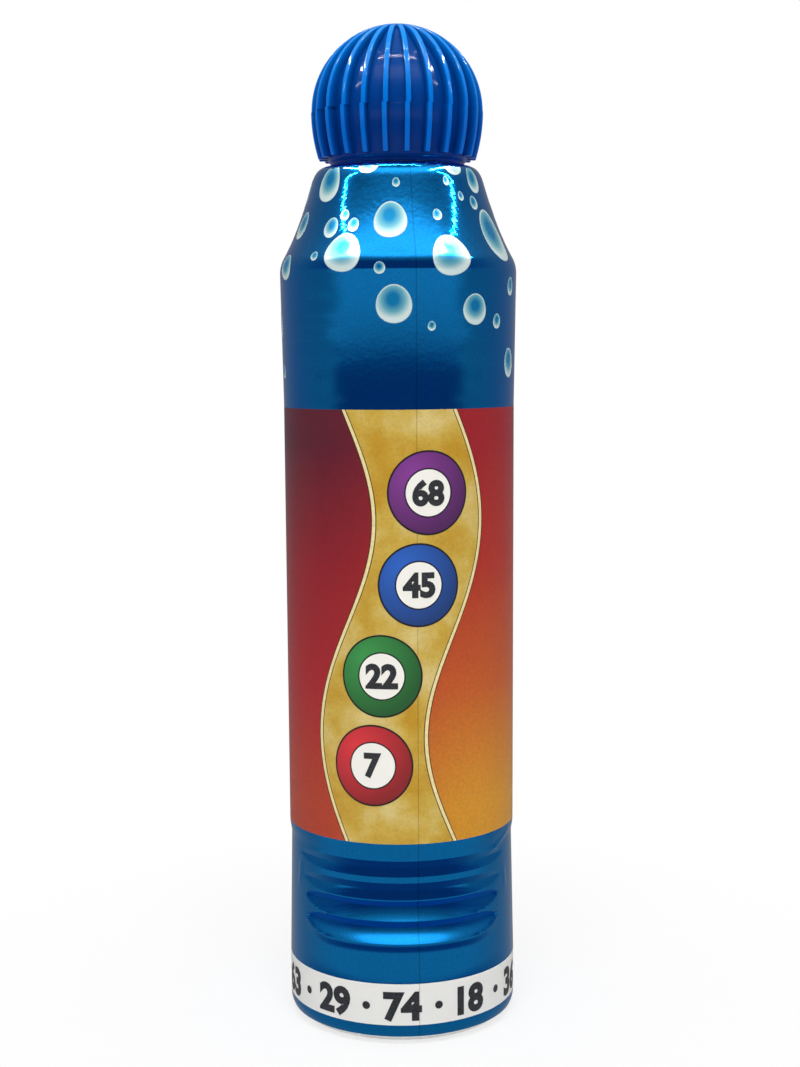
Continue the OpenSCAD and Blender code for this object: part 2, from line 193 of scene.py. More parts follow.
# Camera, from the photograph's lines
view = {"distance": 284.2, "height": 113.0, "pitch": 7.85, "roll": 0.35, "focal": 1697.0, "shift": 50.0,
        "frameHeight": 1067.0, "sensor": 36.0, "near": 0.01, "far": 20.0}
lens = bpy.data.cameras.new("camera")
lens.sensor_fit = "AUTO"
lens.sensor_width = view["sensor"]
lens.lens = view["focal"] * view["sensor"] / view["frameHeight"]
lens.shift_y = view["shift"] / view["frameHeight"]
lens.clip_start, lens.clip_end = view["near"], view["far"]
camera = addObject("camera", lens)
pitch = radians(view["pitch"])
aim = Vector((0, cos(pitch), -sin(pitch)))
camera.rotation_mode = "QUATERNION"
camera.rotation_quaternion = Quaternion(aim, radians(view["roll"])) @ aim.to_track_quat("-Z", "Y")
camera.location = (0, -view["distance"] * mm, view["height"] * mm)
scene.camera = camera
print("camera set, lens", round(lens.lens, 2), "mm")


# Shrink sleeve: the film follows the bottle, is pressed into its grip on the front and the back,
# and is pinched into small folds where the grip ends
film = {"bandR": 18.98, "waistR": 18.53, "panelR": 18.8, "shoulderR": 19.14, "heelR": 3.0, "edgeZ": 1.6,
        "bandTop": 10.6, "waistTop": 31.4, "panelLow": 33.6, "panelTop": 104.4, "cornerZ": 126.6,
        "cornerSoft": 1.3, "deckR": 13.1, "deckZ": 142.0, "deckSoft": 2.3, "deckSoftIn": 1.3, "filmIn": 10.6,
        "gap": 0.1, "thickness": 0.2, "columns": 216,
        "flareIn": 0.52, "flareUp": 0.36, "deckStep": 0.6,
        "steps": {"heel": 16, "band": 6, "waist": 78, "ledge": 10, "panel": 6, "swell": 34, "corner": 10,
                  "flare": 26, "deck": 10},
        # grip grooves: upper edge, deepest line, lower edge, depth, lip under it, degrees to each side
        "grip": [(31.05, 29.85, 28.4, 0.44, 0.0, 63.0), (27.4, 26.2, 24.6, 0.44, 0.0, 60.0),
                 (24.4, 23.2, 21.1, 1.14, 0.0, 57.0), (21.0, 19.6, 17.3, 1.3, 0.22, 56.0)],
        "gripRound": 22.0, "lipWide": 1.1, "faceLine": 0.82, "faceCurve": 0.18,  # lower face of a groove
        "rippleZ": 108.0, "ripplePitch": 4.2, "rippleWidth": 3.6, "rippleDepth": 0.04, "rippleMiddle": 50.0,
        "rippleReach": 13.0, "rippleCount": 4,
        # folds: from angle and height to angle and height, how high, how wide
        "folds": [(47, 29.9, 73, 33.4, 0.17, 0.45), (-65, 23.5, -62, 29.0, 0.12, 0.6),
                  (66, 22.5, 64, 28.0, 0.1, 0.6), (126, 30.2, 109, 33.0, 0.12, 0.5),
                  (-122, 24.0, -118, 29.5, 0.1, 0.6)],
        "foldTaper": 3.0, "foldBlunt": 0.15, "degreeWide": 0.334}  # mm round the film for one degree


def bodyRows(start):  # outside of the bottle from an angle on its heel up to its deck
    f, steps = film, film["steps"]
    corner, deck = Vector((f["shoulderR"], f["cornerZ"])), Vector((f["deckR"], f["deckZ"]))
    drop, rise = f["shoulderR"] - f["deckR"], f["deckZ"] - f["cornerZ"]
    flare = Vector((f["shoulderR"] - drop * f["flareIn"], f["cornerZ"] + rise * f["flareUp"]))
    heel = arc(f["bandR"] - f["heelR"], f["heelR"], f["heelR"], start - pi / 2, 0.0, steps["heel"])
    rows = [Vector(p) for p in heel]
    swellEnd = corner - Vector((0, f["cornerSoft"]))
    stretches = [("band", (f["bandR"], f["bandTop"])), ("waist", (f["waistR"], f["waistTop"])),
                 ("ledge", (f["panelR"], f["panelLow"])), ("panel", (f["panelR"], f["panelTop"])),
                 ("swell", swellEnd)]
    edges = [z for groove in f["grip"] for z in groove[:3]]  # a row on each edge of the grip keeps it crisp
    for name, end in stretches:
        p, q = rows[-1], Vector(end)
        shares = [i / steps[name] for i in range(1, steps[name] + 1)]
        shares += [(z - p.y) / (q.y - p.y) for z in edges if p.y < z < q.y]
        for t in sorted(shares):
            soft = ease(t) if name == "ledge" else t  # the ledge up to the panel is soft
            rows.append(Vector((p.x + (q.x - p.x) * soft, p.y + (q.y - p.y) * t)))
    cornerEnd, deckStart = toward(corner, flare, f["cornerSoft"]), toward(deck, flare, f["deckSoft"])
    rows += bend(swellEnd, corner, cornerEnd, steps["corner"])[1:]
    rows += bend(cornerEnd, flare, deckStart, steps["flare"])[1:]
    return rows + bend(deckStart, deck, deck - Vector((f["deckSoftIn"], 0)), steps["deck"])[1:]


def shifted(rows, gap):  # moved outwards
    moved = []
    for i, p in enumerate(rows):
        d = rows[min(i + 1, len(rows) - 1)] - rows[max(i - 1, 0)]
        moved.append(p + Vector((d.y, -d.x)).normalized() * gap)
    return moved


def pressedIn(angle, z):  # depth of the grip and the ripples at an angle from the front, in degrees
    f = film
    side = abs(angle) if abs(angle) <= 90 else 180 - abs(angle)
    depth = 0.0
    for top, deep, low, most, lip, reach in f["grip"]:
        left = clamp((reach - side) / f["gripRound"])
        full = sqrt(1 - (1 - left) ** 2)  # the grooves close in to a point at both ends
        if full > 0.01:
            u = (z - deep) / (full * (top - deep if z > deep else low - deep))
            if u < 1:
                lower = 1 - f["faceLine"] * u - f["faceCurve"] * u * u
                depth += most * full * (1 - u if z > deep else lower)
            away = (z - deep + (deep - low) * full) / f["lipWide"]
            depth -= lip * full * exp(-away * away)
    for i in range(f["rippleCount"]):
        u = (z - f["rippleZ"] - i * f["ripplePitch"]) / (f["rippleWidth"] / 2)
        if abs(u) < 1:
            off = (side - f["rippleMiddle"]) / f["rippleReach"]
            depth += f["rippleDepth"] * exp(-off ** 2) * (1 - u * u) ** 2
    return depth


def foldHeight(angle, z):
    f = film
    here = Vector((angle * f["degreeWide"], z))
    lift = 0.0
    for a0, z0, a1, z1, high, wide in f["folds"]:
        p, q = Vector((a0 * f["degreeWide"], z0)), Vector((a1 * f["degreeWide"], z1))
        t = clamp((here - p).dot(q - p) / (q - p).length_squared)
        away = (here - p.lerp(q, t)).length / wide
        lift += high * exp(-away * away) * ease(min(t, 1 - t) * f["foldTaper"] + f["foldBlunt"])
    return lift


def fromFront(a):  # radians to degrees from -180 to 180
    return (degrees(a) + 180) % 360 - 180


def buildFilm():
    rows = bodyRows(acos(1 - film["edgeZ"] / film["heelR"]))
    rows += [rows[-1] - Vector((film["deckStep"], 0)), Vector((film["filmIn"], film["deckZ"]))]
    heights = [p.y for p in rows]
    heights += heights[::-1]

    def wave(k, a):
        angle = fromFront(a)
        return foldHeight(angle, heights[k]) - pressedIn(angle, heights[k])

    outline = shifted(rows, film["gap"] + film["thickness"]) + shifted(rows, film["gap"])[::-1]
    return meshFrom(lathe(outline, film["columns"], wave=wave), "printed_sleeve")


# Printed shrink film, gravure inks on clear PETG: metallic blue with a mirror gloss, opaque inks elsewhere
filmGloss = {"IOR": 1.5, "Specular IOR Level": 0.3, "Coat Weight": 0.2, "Coat Roughness": 0.03, "Coat IOR": 1.5}
filmPrint = {"flake": 0.25, "speck": 0.5, "cloud": 9.0909, "wave": 5.2632, "ripple": 0.76923,  # in mm
             "blue": "#0094E4", "deepBlue": "#0088DA", "white": "#E6E5E1", "bandLow": 3.0, "bandTop": 10.35,
             "labelLow": 33.9, "labelTop": 103.7, "flatR": 19.1, "creaseAngle": 8.3, "creaseWidth": 0.14,
             "leftField": ["#B0381C", "#A4121E", "#8E0A1C", "#5C0E24"],  # bottom to top
             "rightField": ["#D08E14", "#C05612", "#AE2614", "#9C0C1A"],
             "gold": ["#BE9018", "#C8A640", "#D6C078"], "goldSpeck": "#8A6E2C",
             "ribbon": 8.6, "middle": 68.8, "sway": 5.0, "swayLength": 70.0, "edge": 0.55, "line": 0.16,
             "edgeLine": "#2A1718", "edgeStripe": "#E9D79A", "rampTop": 150.0, "rampSide": 20.0,  # ends of the ramps
             "inkRough": 0.42, "metalRough": 0.07, "creasePaintedShade": 0.4, "creaseRise": 0.3,
             "taut": 0.12, "slackLow": 125.0, "slackTop": 130.0}  # waves below and above the shoulder's corner


def ribbonMiddle(z):  # the gold ribbon sways to both sides, in mm from the middle of the front
    return filmPrint["sway"] * sin(2 * pi * (z - filmPrint["middle"]) / filmPrint["swayLength"])


def filmMaterial():  # film printed from behind: a coloured mirror where it is metallic, flat bright inks elsewhere
    c = filmPrint
    material, tree, shader = startMaterial("printed shrink film", filmGloss)
    place = addNode(tree, "ShaderNodeTexCoord", output="Object")
    xyz = addNode(tree, "ShaderNodeSeparateXYZ", {0: place}, None)
    angle = turnOf(xyz)
    height = addNode(tree, "ShaderNodeMath", {0: xyz["Z"], 1: 1 / mm}, operation="MULTIPLY")

    # zones by height: red = label, green = white band, blue = metallic
    zone = zonesOf(height, c["rampTop"], [
        (0.0, "blue"), (c["bandLow"], "green"), (c["bandTop"], "blue"), (c["labelLow"], "red"),
        (c["labelTop"], "blue")])

    # metallic blue ink: its flakes are finer than this, and drawn coarser so that they show
    flakes = addNode(tree, "ShaderNodeTexNoise", {"Vector": place, "Scale": 1 / (c["flake"] * mm), "Detail": 2.0})
    blue = addNode(tree, "ShaderNodeValToRGB", {0: flakes})
    setStops(blue, [(0.35, c["deepBlue"]), (0.65, c["blue"])])

    # label field: two columns of colour, left and right, that meet behind the ribbon
    rise = addNode(tree, "ShaderNodeMapRange", {
        "Value": height, "From Min": c["labelLow"], "From Max": c["labelTop"]})
    columns = []
    for name in ("leftField", "rightField"):
        column = addNode(tree, "ShaderNodeValToRGB", {0: rise})
        columns.append(setStops(column, [(0.08 + 0.84 * i / 3, h) for i, h in enumerate(c[name])]))
    swing = addNode(tree, "ShaderNodeMath", {0: angle}, operation="SINE")
    side = addNode(tree, "ShaderNodeMapRange", {"Value": swing, "From Min": -0.7, "From Max": 0.7},
                   interpolation_type="SMOOTHSTEP")
    field = addNode(tree, "ShaderNodeMix", {0: side, 6: columns[0], 7: columns[1]}, 2, data_type="RGBA")

    # grain of the printed parchment: fine specks and wide clouds
    speck = addNode(tree, "ShaderNodeTexNoise", {
        "Vector": place, "Scale": 1 / (c["speck"] * mm), "Detail": 3.0, "Roughness": 0.7})
    cloud = addNode(tree, "ShaderNodeTexNoise", {"Vector": place, "Scale": 1 / (c["cloud"] * mm), "Detail": 4.0})
    gold = addNode(tree, "ShaderNodeValToRGB", {0: cloud})
    setStops(gold, [(0.36 + 0.14 * i, h) for i, h in enumerate(c["gold"])])
    dark = addNode(tree, "ShaderNodeMapRange", {"Value": speck, "From Min": 0.6, "From Max": 0.72, "To Max": 0.6})
    parchment = addNode(tree, "ShaderNodeMix", {0: dark, 6: gold, 7: c["goldSpeck"]}, 2, data_type="RGBA")

    # gold ribbon on the front and on the back, by the distance from its middle line in mm:
    # red = gold inside, green = pale edge, blue = line
    turned = addNode(tree, "ShaderNodeMath", {0: angle, 1: pi / 2, 2: -pi / 2}, operation="WRAP")
    across = addNode(tree, "ShaderNodeMath", {0: turned, 1: c["flatR"]}, operation="MULTIPLY")
    offMiddle = addNode(tree, "ShaderNodeMath", {0: height, 1: c["middle"]}, operation="SUBTRACT")
    phase = addNode(tree, "ShaderNodeMath", {0: offMiddle, 1: 2 * pi / c["swayLength"]}, operation="MULTIPLY")
    wave = addNode(tree, "ShaderNodeMath", {0: phase}, operation="SINE")
    drift = addNode(tree, "ShaderNodeMath", {0: wave, 1: -c["sway"], 2: across}, operation="MULTIPLY_ADD")
    away = addNode(tree, "ShaderNodeMath", {0: drift}, operation="ABSOLUTE")
    inner = c["ribbon"] + c["line"]
    outer = inner + c["edge"]
    part = zonesOf(away, c["rampSide"], [
        (0.0, "red"), (c["ribbon"], "blue"), (inner, "green"), (outer, "blue"), (outer + c["line"], "none")])
    design = field
    for mask, over in zip(part, (parchment, c["edgeStripe"], c["edgeLine"])):
        design = addNode(tree, "ShaderNodeMix", {0: mask, 6: design, 7: over}, 2, data_type="RGBA")
    grain = addNode(tree, "ShaderNodeMapRange", {
        "Value": speck, "From Min": 0.3, "From Max": 0.7, "To Min": 0.86, "To Max": 1.1})
    design = addNode(tree, "ShaderNodeVectorMath", {0: design, "Scale": grain}, operation="SCALE")
    colour = addNode(tree, "ShaderNodeMix", {0: zone[0], 6: blue, 7: design}, 2, data_type="RGBA")
    colour = addNode(tree, "ShaderNodeMix", {0: zone[1], 6: colour, 7: c["white"]}, 2, data_type="RGBA")

    # the two folds of the flat tube that the film was cut from, with painted shade that darkens the colour along each
    # fold
    offFold = addNode(tree, "ShaderNodeMath", {0: angle, 1: radians(c["creaseAngle"])}, operation="SUBTRACT")
    offFold = addNode(tree, "ShaderNodeMath", {0: offFold, 1: pi / 2, 2: -pi / 2}, operation="WRAP")
    offFold = addNode(tree, "ShaderNodeMath", {0: offFold}, operation="ABSOLUTE")
    crease = addNode(tree, "ShaderNodeMapRange", {
        "Value": offFold, "From Min": c["creaseWidth"] / c["flatR"], "From Max": 0.0})
    shade = addNode(tree, "ShaderNodeMath", {0: crease, 1: -c["creasePaintedShade"], 2: 1.0}, operation="MULTIPLY_ADD")
    colour = addNode(tree, "ShaderNodeVectorMath", {0: colour, "Scale": shade}, operation="SCALE")

    # shrunk film is never quite flat: it waves, most of all on the shoulder
    waves, fine = (addNode(tree, "ShaderNodeTexNoise", {
        "Vector": place, "Scale": 1 / (c[name] * mm), "Detail": 1.0}) for name in ("wave", "ripple"))
    slack = addNode(tree, "ShaderNodeMapRange", {
        "Value": height, "From Min": c["slackLow"], "From Max": c["slackTop"], "To Min": c["taut"]})
    peel = addNode(tree, "ShaderNodeMath", {0: fine, 1: 0.5, 2: waves}, operation="MULTIPLY_ADD")
    peel = addNode(tree, "ShaderNodeMath", {0: peel, 1: slack}, operation="MULTIPLY")
    peel = addNode(tree, "ShaderNodeMath", {0: crease, 1: c["creaseRise"], 2: peel}, operation="MULTIPLY_ADD")
    normal = addNode(tree, "ShaderNodeBump", {"Strength": 0.08, "Distance": 0.4 * mm, "Height": peel})
    rough = addNode(tree, "ShaderNodeMapRange", {
        "Value": zone[2], "To Min": c["inkRough"], "To Max": c["metalRough"]})
    feed(shader, {"Base Color": colour, "Metallic": zone[2], "Roughness": rough, "Normal": normal,
                  "Coat Normal": normal})
    return material


sleeve = asPiece("printed_sleeve", buildFilm(), "bottle", filmMaterial(), ["shrink_sleeve"],
                 sharp=11)
print("sleeve built:", len(sleeve.data.polygons), "faces")


# Geometry Nodes: print that lies on the film. Flat art is drawn with x round the film, y up and z outwards.
ink = {"thickness": 0.015, "clearance": 0.012, "start": 28.0, "top": 141.55, "flatR": 19.4,
       "rows": 25, "strip": 0.4, "over": 1.5}  # rows of a spot, strips of art, lift of ink on ink


def newTree(name, sockets):
    tree = bpy.data.node_groups.new(name, "GeometryNodeTree")
    for title, kind in sockets:
        tree.interface.new_socket(title, in_out="INPUT", socket_type="NodeSocket" + kind)
    tree.interface.new_socket("Geometry", in_out="OUTPUT", socket_type="NodeSocketGeometry")
    return tree, addNode(tree, "NodeGroupInput", output=None), tree.nodes.new("NodeGroupOutput").inputs[0]


def finishTree(tree, shape, material, result):
    real = addNode(tree, "GeometryNodeRealizeInstances", {0: shape})
    tree.links.new(addNode(tree, "GeometryNodeSetMaterial", {"Geometry": real, "Material": material}), result)
    return tree


wrapSockets = [("Geometry", "Geometry"), ("Film", "Object"), ("Thickness", "Float"), ("Clearance", "Float"),
               ("Flat radius", "Float"), ("Start", "Float"), ("Top", "Float"), ("Ink", "Material")]


def wrapTree():
    tree, g, result = newTree("wrap print on film", wrapSockets)
    place = addNode(tree, "GeometryNodeInputPosition")
    flat = addNode(tree, "ShaderNodeSeparateXYZ", {0: place}, None)
    high = addNode(tree, "FunctionNodeCompare", {"A": flat["Y"], "B": g["Top"]}, operation="GREATER_THAN")
    trimmed = addNode(tree, "GeometryNodeDeleteGeometry", {"Geometry": g["Geometry"], "Selection": high},
                      domain="FACE")
    raised = addNode(tree, "GeometryNodeExtrudeMesh", {
        "Mesh": trimmed, "Offset Scale": g["Thickness"], "Individual": False})
    under = addNode(tree, "GeometryNodeFlipFaces", {"Mesh": trimmed})
    both = addNode(tree, "GeometryNodeJoinGeometry")
    for half in (raised, under):
        tree.links.new(half, both.node.inputs[0])
    closed = addNode(tree, "GeometryNodeMergeByDistance", {"Geometry": both, "Distance": 2e-6})

    # flat x becomes an angle, and a ray from outside finds the film there
    angle = addNode(tree, "ShaderNodeMath", {0: flat["X"], 1: g["Flat radius"]}, operation="DIVIDE")
    x = addNode(tree, "ShaderNodeMath", {0: angle}, operation="SINE")
    y = addNode(tree, "ShaderNodeMath", {0: angle}, operation="COSINE")
    y = addNode(tree, "ShaderNodeMath", {0: y, 1: -1.0}, operation="MULTIPLY")
    outwards = addNode(tree, "ShaderNodeCombineXYZ", {0: x, 1: y})
    inwards = addNode(tree, "ShaderNodeVectorMath", {0: outwards, "Scale": -1.0}, operation="SCALE")
    far = addNode(tree, "ShaderNodeVectorMath", {0: outwards, "Scale": g["Start"]}, operation="SCALE")
    level = addNode(tree, "ShaderNodeCombineXYZ", {2: flat["Y"]})
    source = addNode(tree, "ShaderNodeVectorMath", {0: far, 1: level}, operation="ADD")
    target = addNode(tree, "GeometryNodeObjectInfo", {"Object": g["Film"]}, "Geometry")
    hit = addNode(tree, "GeometryNodeRaycast", {
        "Target Geometry": target, "Source Position": source, "Ray Direction": inwards,
        "Ray Length": g["Start"]}, "Hit Position")
    lift = addNode(tree, "ShaderNodeMath", {0: flat["Z"], 1: g["Clearance"]}, operation="ADD")
    lifted = addNode(tree, "ShaderNodeVectorMath", {0: outwards, "Scale": lift}, operation="SCALE")
    landed = addNode(tree, "ShaderNodeVectorMath", {0: hit, 1: lifted}, operation="ADD")
    laid = addNode(tree, "GeometryNodeSetPosition", {"Geometry": closed, "Position": landed})
    return finishTree(tree, laid, g["Ink"], result)


def spotTree(wrap):  # one egg-shaped spot of print for each point, with its size on the point
    tree, g, result = newTree("spots on film", wrapSockets + [("Rows", "Int")])
    square = addNode(tree, "GeometryNodeMeshGrid", {
        "Size X": 2.0, "Size Y": 2.0, "Vertices X": g["Rows"], "Vertices Y": g["Rows"]})
    place = addNode(tree, "GeometryNodeInputPosition")
    flat = addNode(tree, "ShaderNodeSeparateXYZ", {0: place}, None)
    bowed = []
    for along, across in ((flat["X"], flat["Y"]), (flat["Y"], flat["X"])):  # the square becomes a round disc
        squared = addNode(tree, "ShaderNodeMath", {0: across, 1: across}, operation="MULTIPLY")
        left = addNode(tree, "ShaderNodeMath", {0: squared, 1: -0.5, 2: 1.0}, operation="MULTIPLY_ADD")
        root = addNode(tree, "ShaderNodeMath", {0: left}, operation="SQRT")
        bowed.append(addNode(tree, "ShaderNodeMath", {0: along, 1: root}, operation="MULTIPLY"))
    rounded = addNode(tree, "ShaderNodeCombineXYZ", {0: bowed[0], 1: bowed[1]})
    disc = addNode(tree, "GeometryNodeSetPosition", {"Geometry": square, "Position": rounded})
    marked = addNode(tree, "GeometryNodeStoreNamedAttribute", {"Geometry": disc, "Name": "spot", "Value": place},
                     data_type="FLOAT_VECTOR", domain="POINT")
    each = addNode(tree, "GeometryNodeInstanceOnPoints", {"Points": g["Geometry"], "Instance": marked})
    real = addNode(tree, "GeometryNodeRealizeInstances", {0: each})

    # each spot gets its size, its egg shape and its tilt, and is then laid on the film
    spot, shape, tilt = (addNode(tree, "GeometryNodeInputNamedAttribute", {"Name": name}, data_type=kind)
                         for name, kind in (("spot", "FLOAT_VECTOR"), ("shape", "FLOAT_VECTOR"), ("tilt", "FLOAT")))
    unit = addNode(tree, "ShaderNodeSeparateXYZ", {0: spot}, None)
    size = addNode(tree, "ShaderNodeSeparateXYZ", {0: shape}, None)  # half width, half height, egg
    egg = addNode(tree, "ShaderNodeMath", {0: unit["Y"], 1: size["Z"]}, operation="MULTIPLY")
    narrow = addNode(tree, "ShaderNodeMath", {0: 1.0, 1: egg}, operation="SUBTRACT")
    x = addNode(tree, "ShaderNodeMath", {0: unit["X"], 1: narrow}, operation="MULTIPLY")
    x = addNode(tree, "ShaderNodeMath", {0: x, 1: size["X"]}, operation="MULTIPLY")
    y = addNode(tree, "ShaderNodeMath", {0: unit["Y"], 1: size["Y"]}, operation="MULTIPLY")
    sized = addNode(tree, "ShaderNodeCombineXYZ", {0: x, 1: y})
    turned = addNode(tree, "ShaderNodeVectorRotate", {"Vector": sized, "Angle": tilt}, rotation_type="Z_AXIS")
    middle = addNode(tree, "ShaderNodeVectorMath", {0: place, 1: spot}, operation="SUBTRACT")
    drawn = addNode(tree, "ShaderNodeVectorMath", {0: middle, 1: turned}, operation="ADD")
    shaped = addNode(tree, "GeometryNodeSetPosition", {"Geometry": real, "Position": drawn})
    given = {title: g[title] for title, kind in wrapSockets[1:]}
    tree.links.new(addNode(tree, "GeometryNodeGroup", {"Geometry": shaped, **given}, node_tree=wrap), result)
    return tree


def runTree(source, tree, values):  # sets the inputs by identifier and returns the made mesh
    if source.name not in scene.collection.objects:
        scene.collection.objects.link(source)
    modifier = source.modifiers.new("nodes", "NODES")
    modifier.node_group = tree
    for item in tree.interface.items_tree:
        if item.in_out == "INPUT" and item.name in values:
            modifier[item.identifier] = values[item.name]
    made = evaluated(source)
    source.modifiers.clear()
    bpy.data.objects.remove(source)
    return made


wrapOnFilm = wrapTree()
spotsOnFilm = spotTree(wrapOnFilm)


def printOn(name, source, tree, material, lift=0.0):  # a piece of print that lies on the film
    values = {"Film": sleeve, "Thickness": ink["thickness"] * mm, "Clearance": (ink["clearance"] + lift) * mm,
              "Flat radius": ink["flatR"] * mm, "Start": ink["start"] * mm, "Top": ink["top"] * mm,
              "Ink": material, "Rows": ink["rows"]}
    return asPiece(name, runTree(source, tree, values), "bottle", material)


def spotSource(name, spots):  # spots: angle, height, width, height, tilt, egg, colour
    mesh = bpy.data.meshes.new(name)
    mesh.from_pydata([(radians(s[0]) * ink["flatR"] * mm, s[1] * mm, 0) for s in spots], [], [])
    for title, kind in (("shape", "FLOAT_VECTOR"), ("tilt", "FLOAT"), ("inkTint", "FLOAT_COLOR")):
        mesh.attributes.new(title, kind, "POINT")
    made = mesh.attributes
    for i, s in enumerate(spots):
        made["shape"].data[i].vector = (s[2] / 2 * mm, s[3] / 2 * mm, s[5])
        made["tilt"].data[i].value = radians(s[4])
        made["inkTint"].data[i].color = tint(s[6])
    return bpy.data.objects.new(name, mesh)


# Bubbles printed on the metallic film: angle, height, width, height, tilt, egg
bubbles = {"white": "#DDF0EC", "between": "#74C2D2", "core": "#0092D0", "outline": "#0B4F8C",
           "coreAt": (-0.05, 0.24, 0.0), "coreEdge": (0.3, 1.0), "rim": (0.82, 0.95), "line": (0.96, 1.0),
           "lineMost": 0.7, "shine": (0.65, 0.3),  # metallic share of the core and of the white
           "front": [
               (-4, 133.0, 6.2, 5.7, 4, 0.1), (-27.5, 128.0, 6.6, 6.0, -14, 0.14), (26, 127.5, 6.8, 6.3, 16, 0.14),
               (-2, 120.0, 5.7, 6.0, 0, 0.08), (38.5, 119.2, 4.7, 4.9, -12, 0.06),
               (15.5, 116.6, 1.3, 1.5, -8, 0.1), (54, 117.4, 2.0, 2.4, -6, 0.1), (67.5, 110.8, 3.6, 4.8, 4, 0.05),
               (68, 123.0, 2.4, 3.0, -8, 0.1), (-8.5, 125.5, 1.8, 1.9, 8, 0.05), (-44, 127.6, 1.6, 1.4, -20, 0.1),
               (-69, 126.2, 4.4, 4.0, -14, 0.1), (-68, 132.8, 4.2, 4.4, -20, 0.12),
               (-38.5, 132.0, 3.2, 3.2, -22, 0.1), (-31, 133.9, 2.0, 1.7, -10, 0.1),
               (-24.5, 132.3, 2.2, 2.2, -12, 0.1), (-49, 139.2, 6.4, 6.0, -10, 0.16),
               (-20, 142.0, 5.0, 3.4, 0, 0.1), (-1, 138.8, 1.6, 1.5, 0, 0.1), (32, 139.2, 1.4, 1.5, 8, 0.1),
               (22.5, 133.8, 1.9, 1.8, 18, 0.1), (41.5, 136.9, 1.5, 1.5, 14, 0.1), (58, 139.7, 4.4, 4.2, 12, 0.12),
               (52, 136.0, 2.4, 2.2, 18, 0.1), (62, 131.0, 7.0, 8.4, 20, 0.05), (41, 142.0, 5.2, 3.6, 6, 0.1),
               (-84, 138.2, 5.0, 4.4, -16, 0.1), (-83, 117.0, 4.2, 4.8, 6, 0.08), (-76, 109.5, 1.8, 2.2, 0, 0.1),
               (88, 135.6, 2.2, 2.0, 10, 0.1)]}


def bubbleMaterial():  # milky at the rim, and half a mirror in the core
    b = bubbles
    material, tree, shader = startMaterial("white bubble print over silver backing", {**filmGloss, "Roughness": 0.22})
    spot = addNode(tree, "ShaderNodeAttribute", output="Vector", attribute_name="spot")
    out = addNode(tree, "ShaderNodeVectorMath", {0: spot}, "Value", operation="LENGTH")
    offCore = addNode(tree, "ShaderNodeVectorMath", {0: spot, 1: b["coreAt"]}, "Value", operation="DISTANCE")
    core = addNode(tree, "ShaderNodeMapRange", {
        "Value": offCore, "From Min": b["coreEdge"][0], "From Max": b["coreEdge"][1]})
    rim = addNode(tree, "ShaderNodeMapRange", {"Value": out, "From Min": b["rim"][0], "From Max": b["rim"][1]})
    white = addNode(tree, "ShaderNodeMath", {0: core, 1: rim}, operation="MAXIMUM")
    blend = addNode(tree, "ShaderNodeValToRGB", {0: white})
    setStops(blend, [(i / 2, b[name]) for i, name in enumerate(("core", "between", "white"))])
    line = addNode(tree, "ShaderNodeMapRange", {
        "Value": out, "From Min": b["line"][0], "From Max": b["line"][1], "To Max": b["lineMost"]})
    lined = addNode(tree, "ShaderNodeMix", {0: line, 6: blend, 7: b["outline"]}, 2, data_type="RGBA")
    shine = addNode(tree, "ShaderNodeMapRange", {"Value": white, "To Min": b["shine"][0], "To Max": b["shine"][1]})
    feed(shader, {"Base Color": lined, "Metallic": shine})
    return material


bubbleSpots = [(a + turn, z, w, h, t, e, bubbles["white"])
               for turn in (0, 180) for a, z, w, h, t, e in bubbles["front"]]
printOn("bubble_print", spotSource("bubbles", bubbleSpots), spotsOnFilm, bubbleMaterial())
print("bubbles printed:", len(bubbleSpots))


# Bingo balls on the gold ribbon of the label
balls = {"size": 13.4, "heights": [46.9, 61.5, 76.1, 90.7], "tints": ["#B5242C", "#2C7A3A", "#1D4FA0", "#6C2C78"],
         "numbers": ["7", "22", "45", "68"], "figure": 5.2, "white": "#F0EEE6", "line": "#1C1A1E",
         "glowAt": (-0.38, 0.42, 0.0), "glowReach": 1.4, "glow": (1.55, 0.55),
         # red = white face, green = line
         "rings": [(0.0, "red"), (0.55, "green"), (0.585, "none"), (0.955, "green")]}


def ballMaterial():  # bright even inks with a printed glow
    b = balls
    material, tree, shader = startMaterial("gravure ink under gloss film", {**filmGloss, "Roughness": 0.42})
    spot = addNode(tree, "ShaderNodeAttribute", output="Vector", attribute_name="spot")
    offGlow = addNode(tree, "ShaderNodeVectorMath", {0: spot, 1: b["glowAt"]}, "Value", operation="DISTANCE")
    light = addNode(tree, "ShaderNodeMapRange", {
        "Value": offGlow, "From Max": b["glowReach"], "To Min": b["glow"][0], "To Max": b["glow"][1]})
    out = addNode(tree, "ShaderNodeVectorMath", {0: spot}, "Value", operation="LENGTH")
    ring = zonesOf(out, 1.0, b["rings"])
    body = addNode(tree, "ShaderNodeAttribute", output="Color", attribute_name="inkTint")
    body = addNode(tree, "ShaderNodeVectorMath", {0: body, "Scale": light}, operation="SCALE")
    faced = addNode(tree, "ShaderNodeMix", {0: ring[0], 6: body, 7: b["white"]}, 2, data_type="RGBA")
    lined = addNode(tree, "ShaderNodeMix", {0: ring[1], 6: faced, 7: b["line"]}, 2, data_type="RGBA")
    feed(shader, {"Base Color": lined})
    return material


ballSpots = [(turn + degrees(ribbonMiddle(z) / filmPrint["flatR"]), z, balls["size"], balls["size"], 0, 0, h)
             for turn in (0, 180) for z, h in zip(balls["heights"], balls["tints"])]
printOn("ball_print", spotSource("balls", ballSpots), spotsOnFilm, ballMaterial())


# Figures: on the balls, and round the white band with dots between them
band = {"grain": 0.33333,  # of the pinholes in the ink, in mm
        "figure": 6.3, "middle": 6.7, "dot": 1.35, "colour": "#25272A", "pinhole": "#3A3C40", "weight": 0.1,
        "numbers": ["12", "47", "5", "63", "29", "74", "18", "36", "51", "9"]}


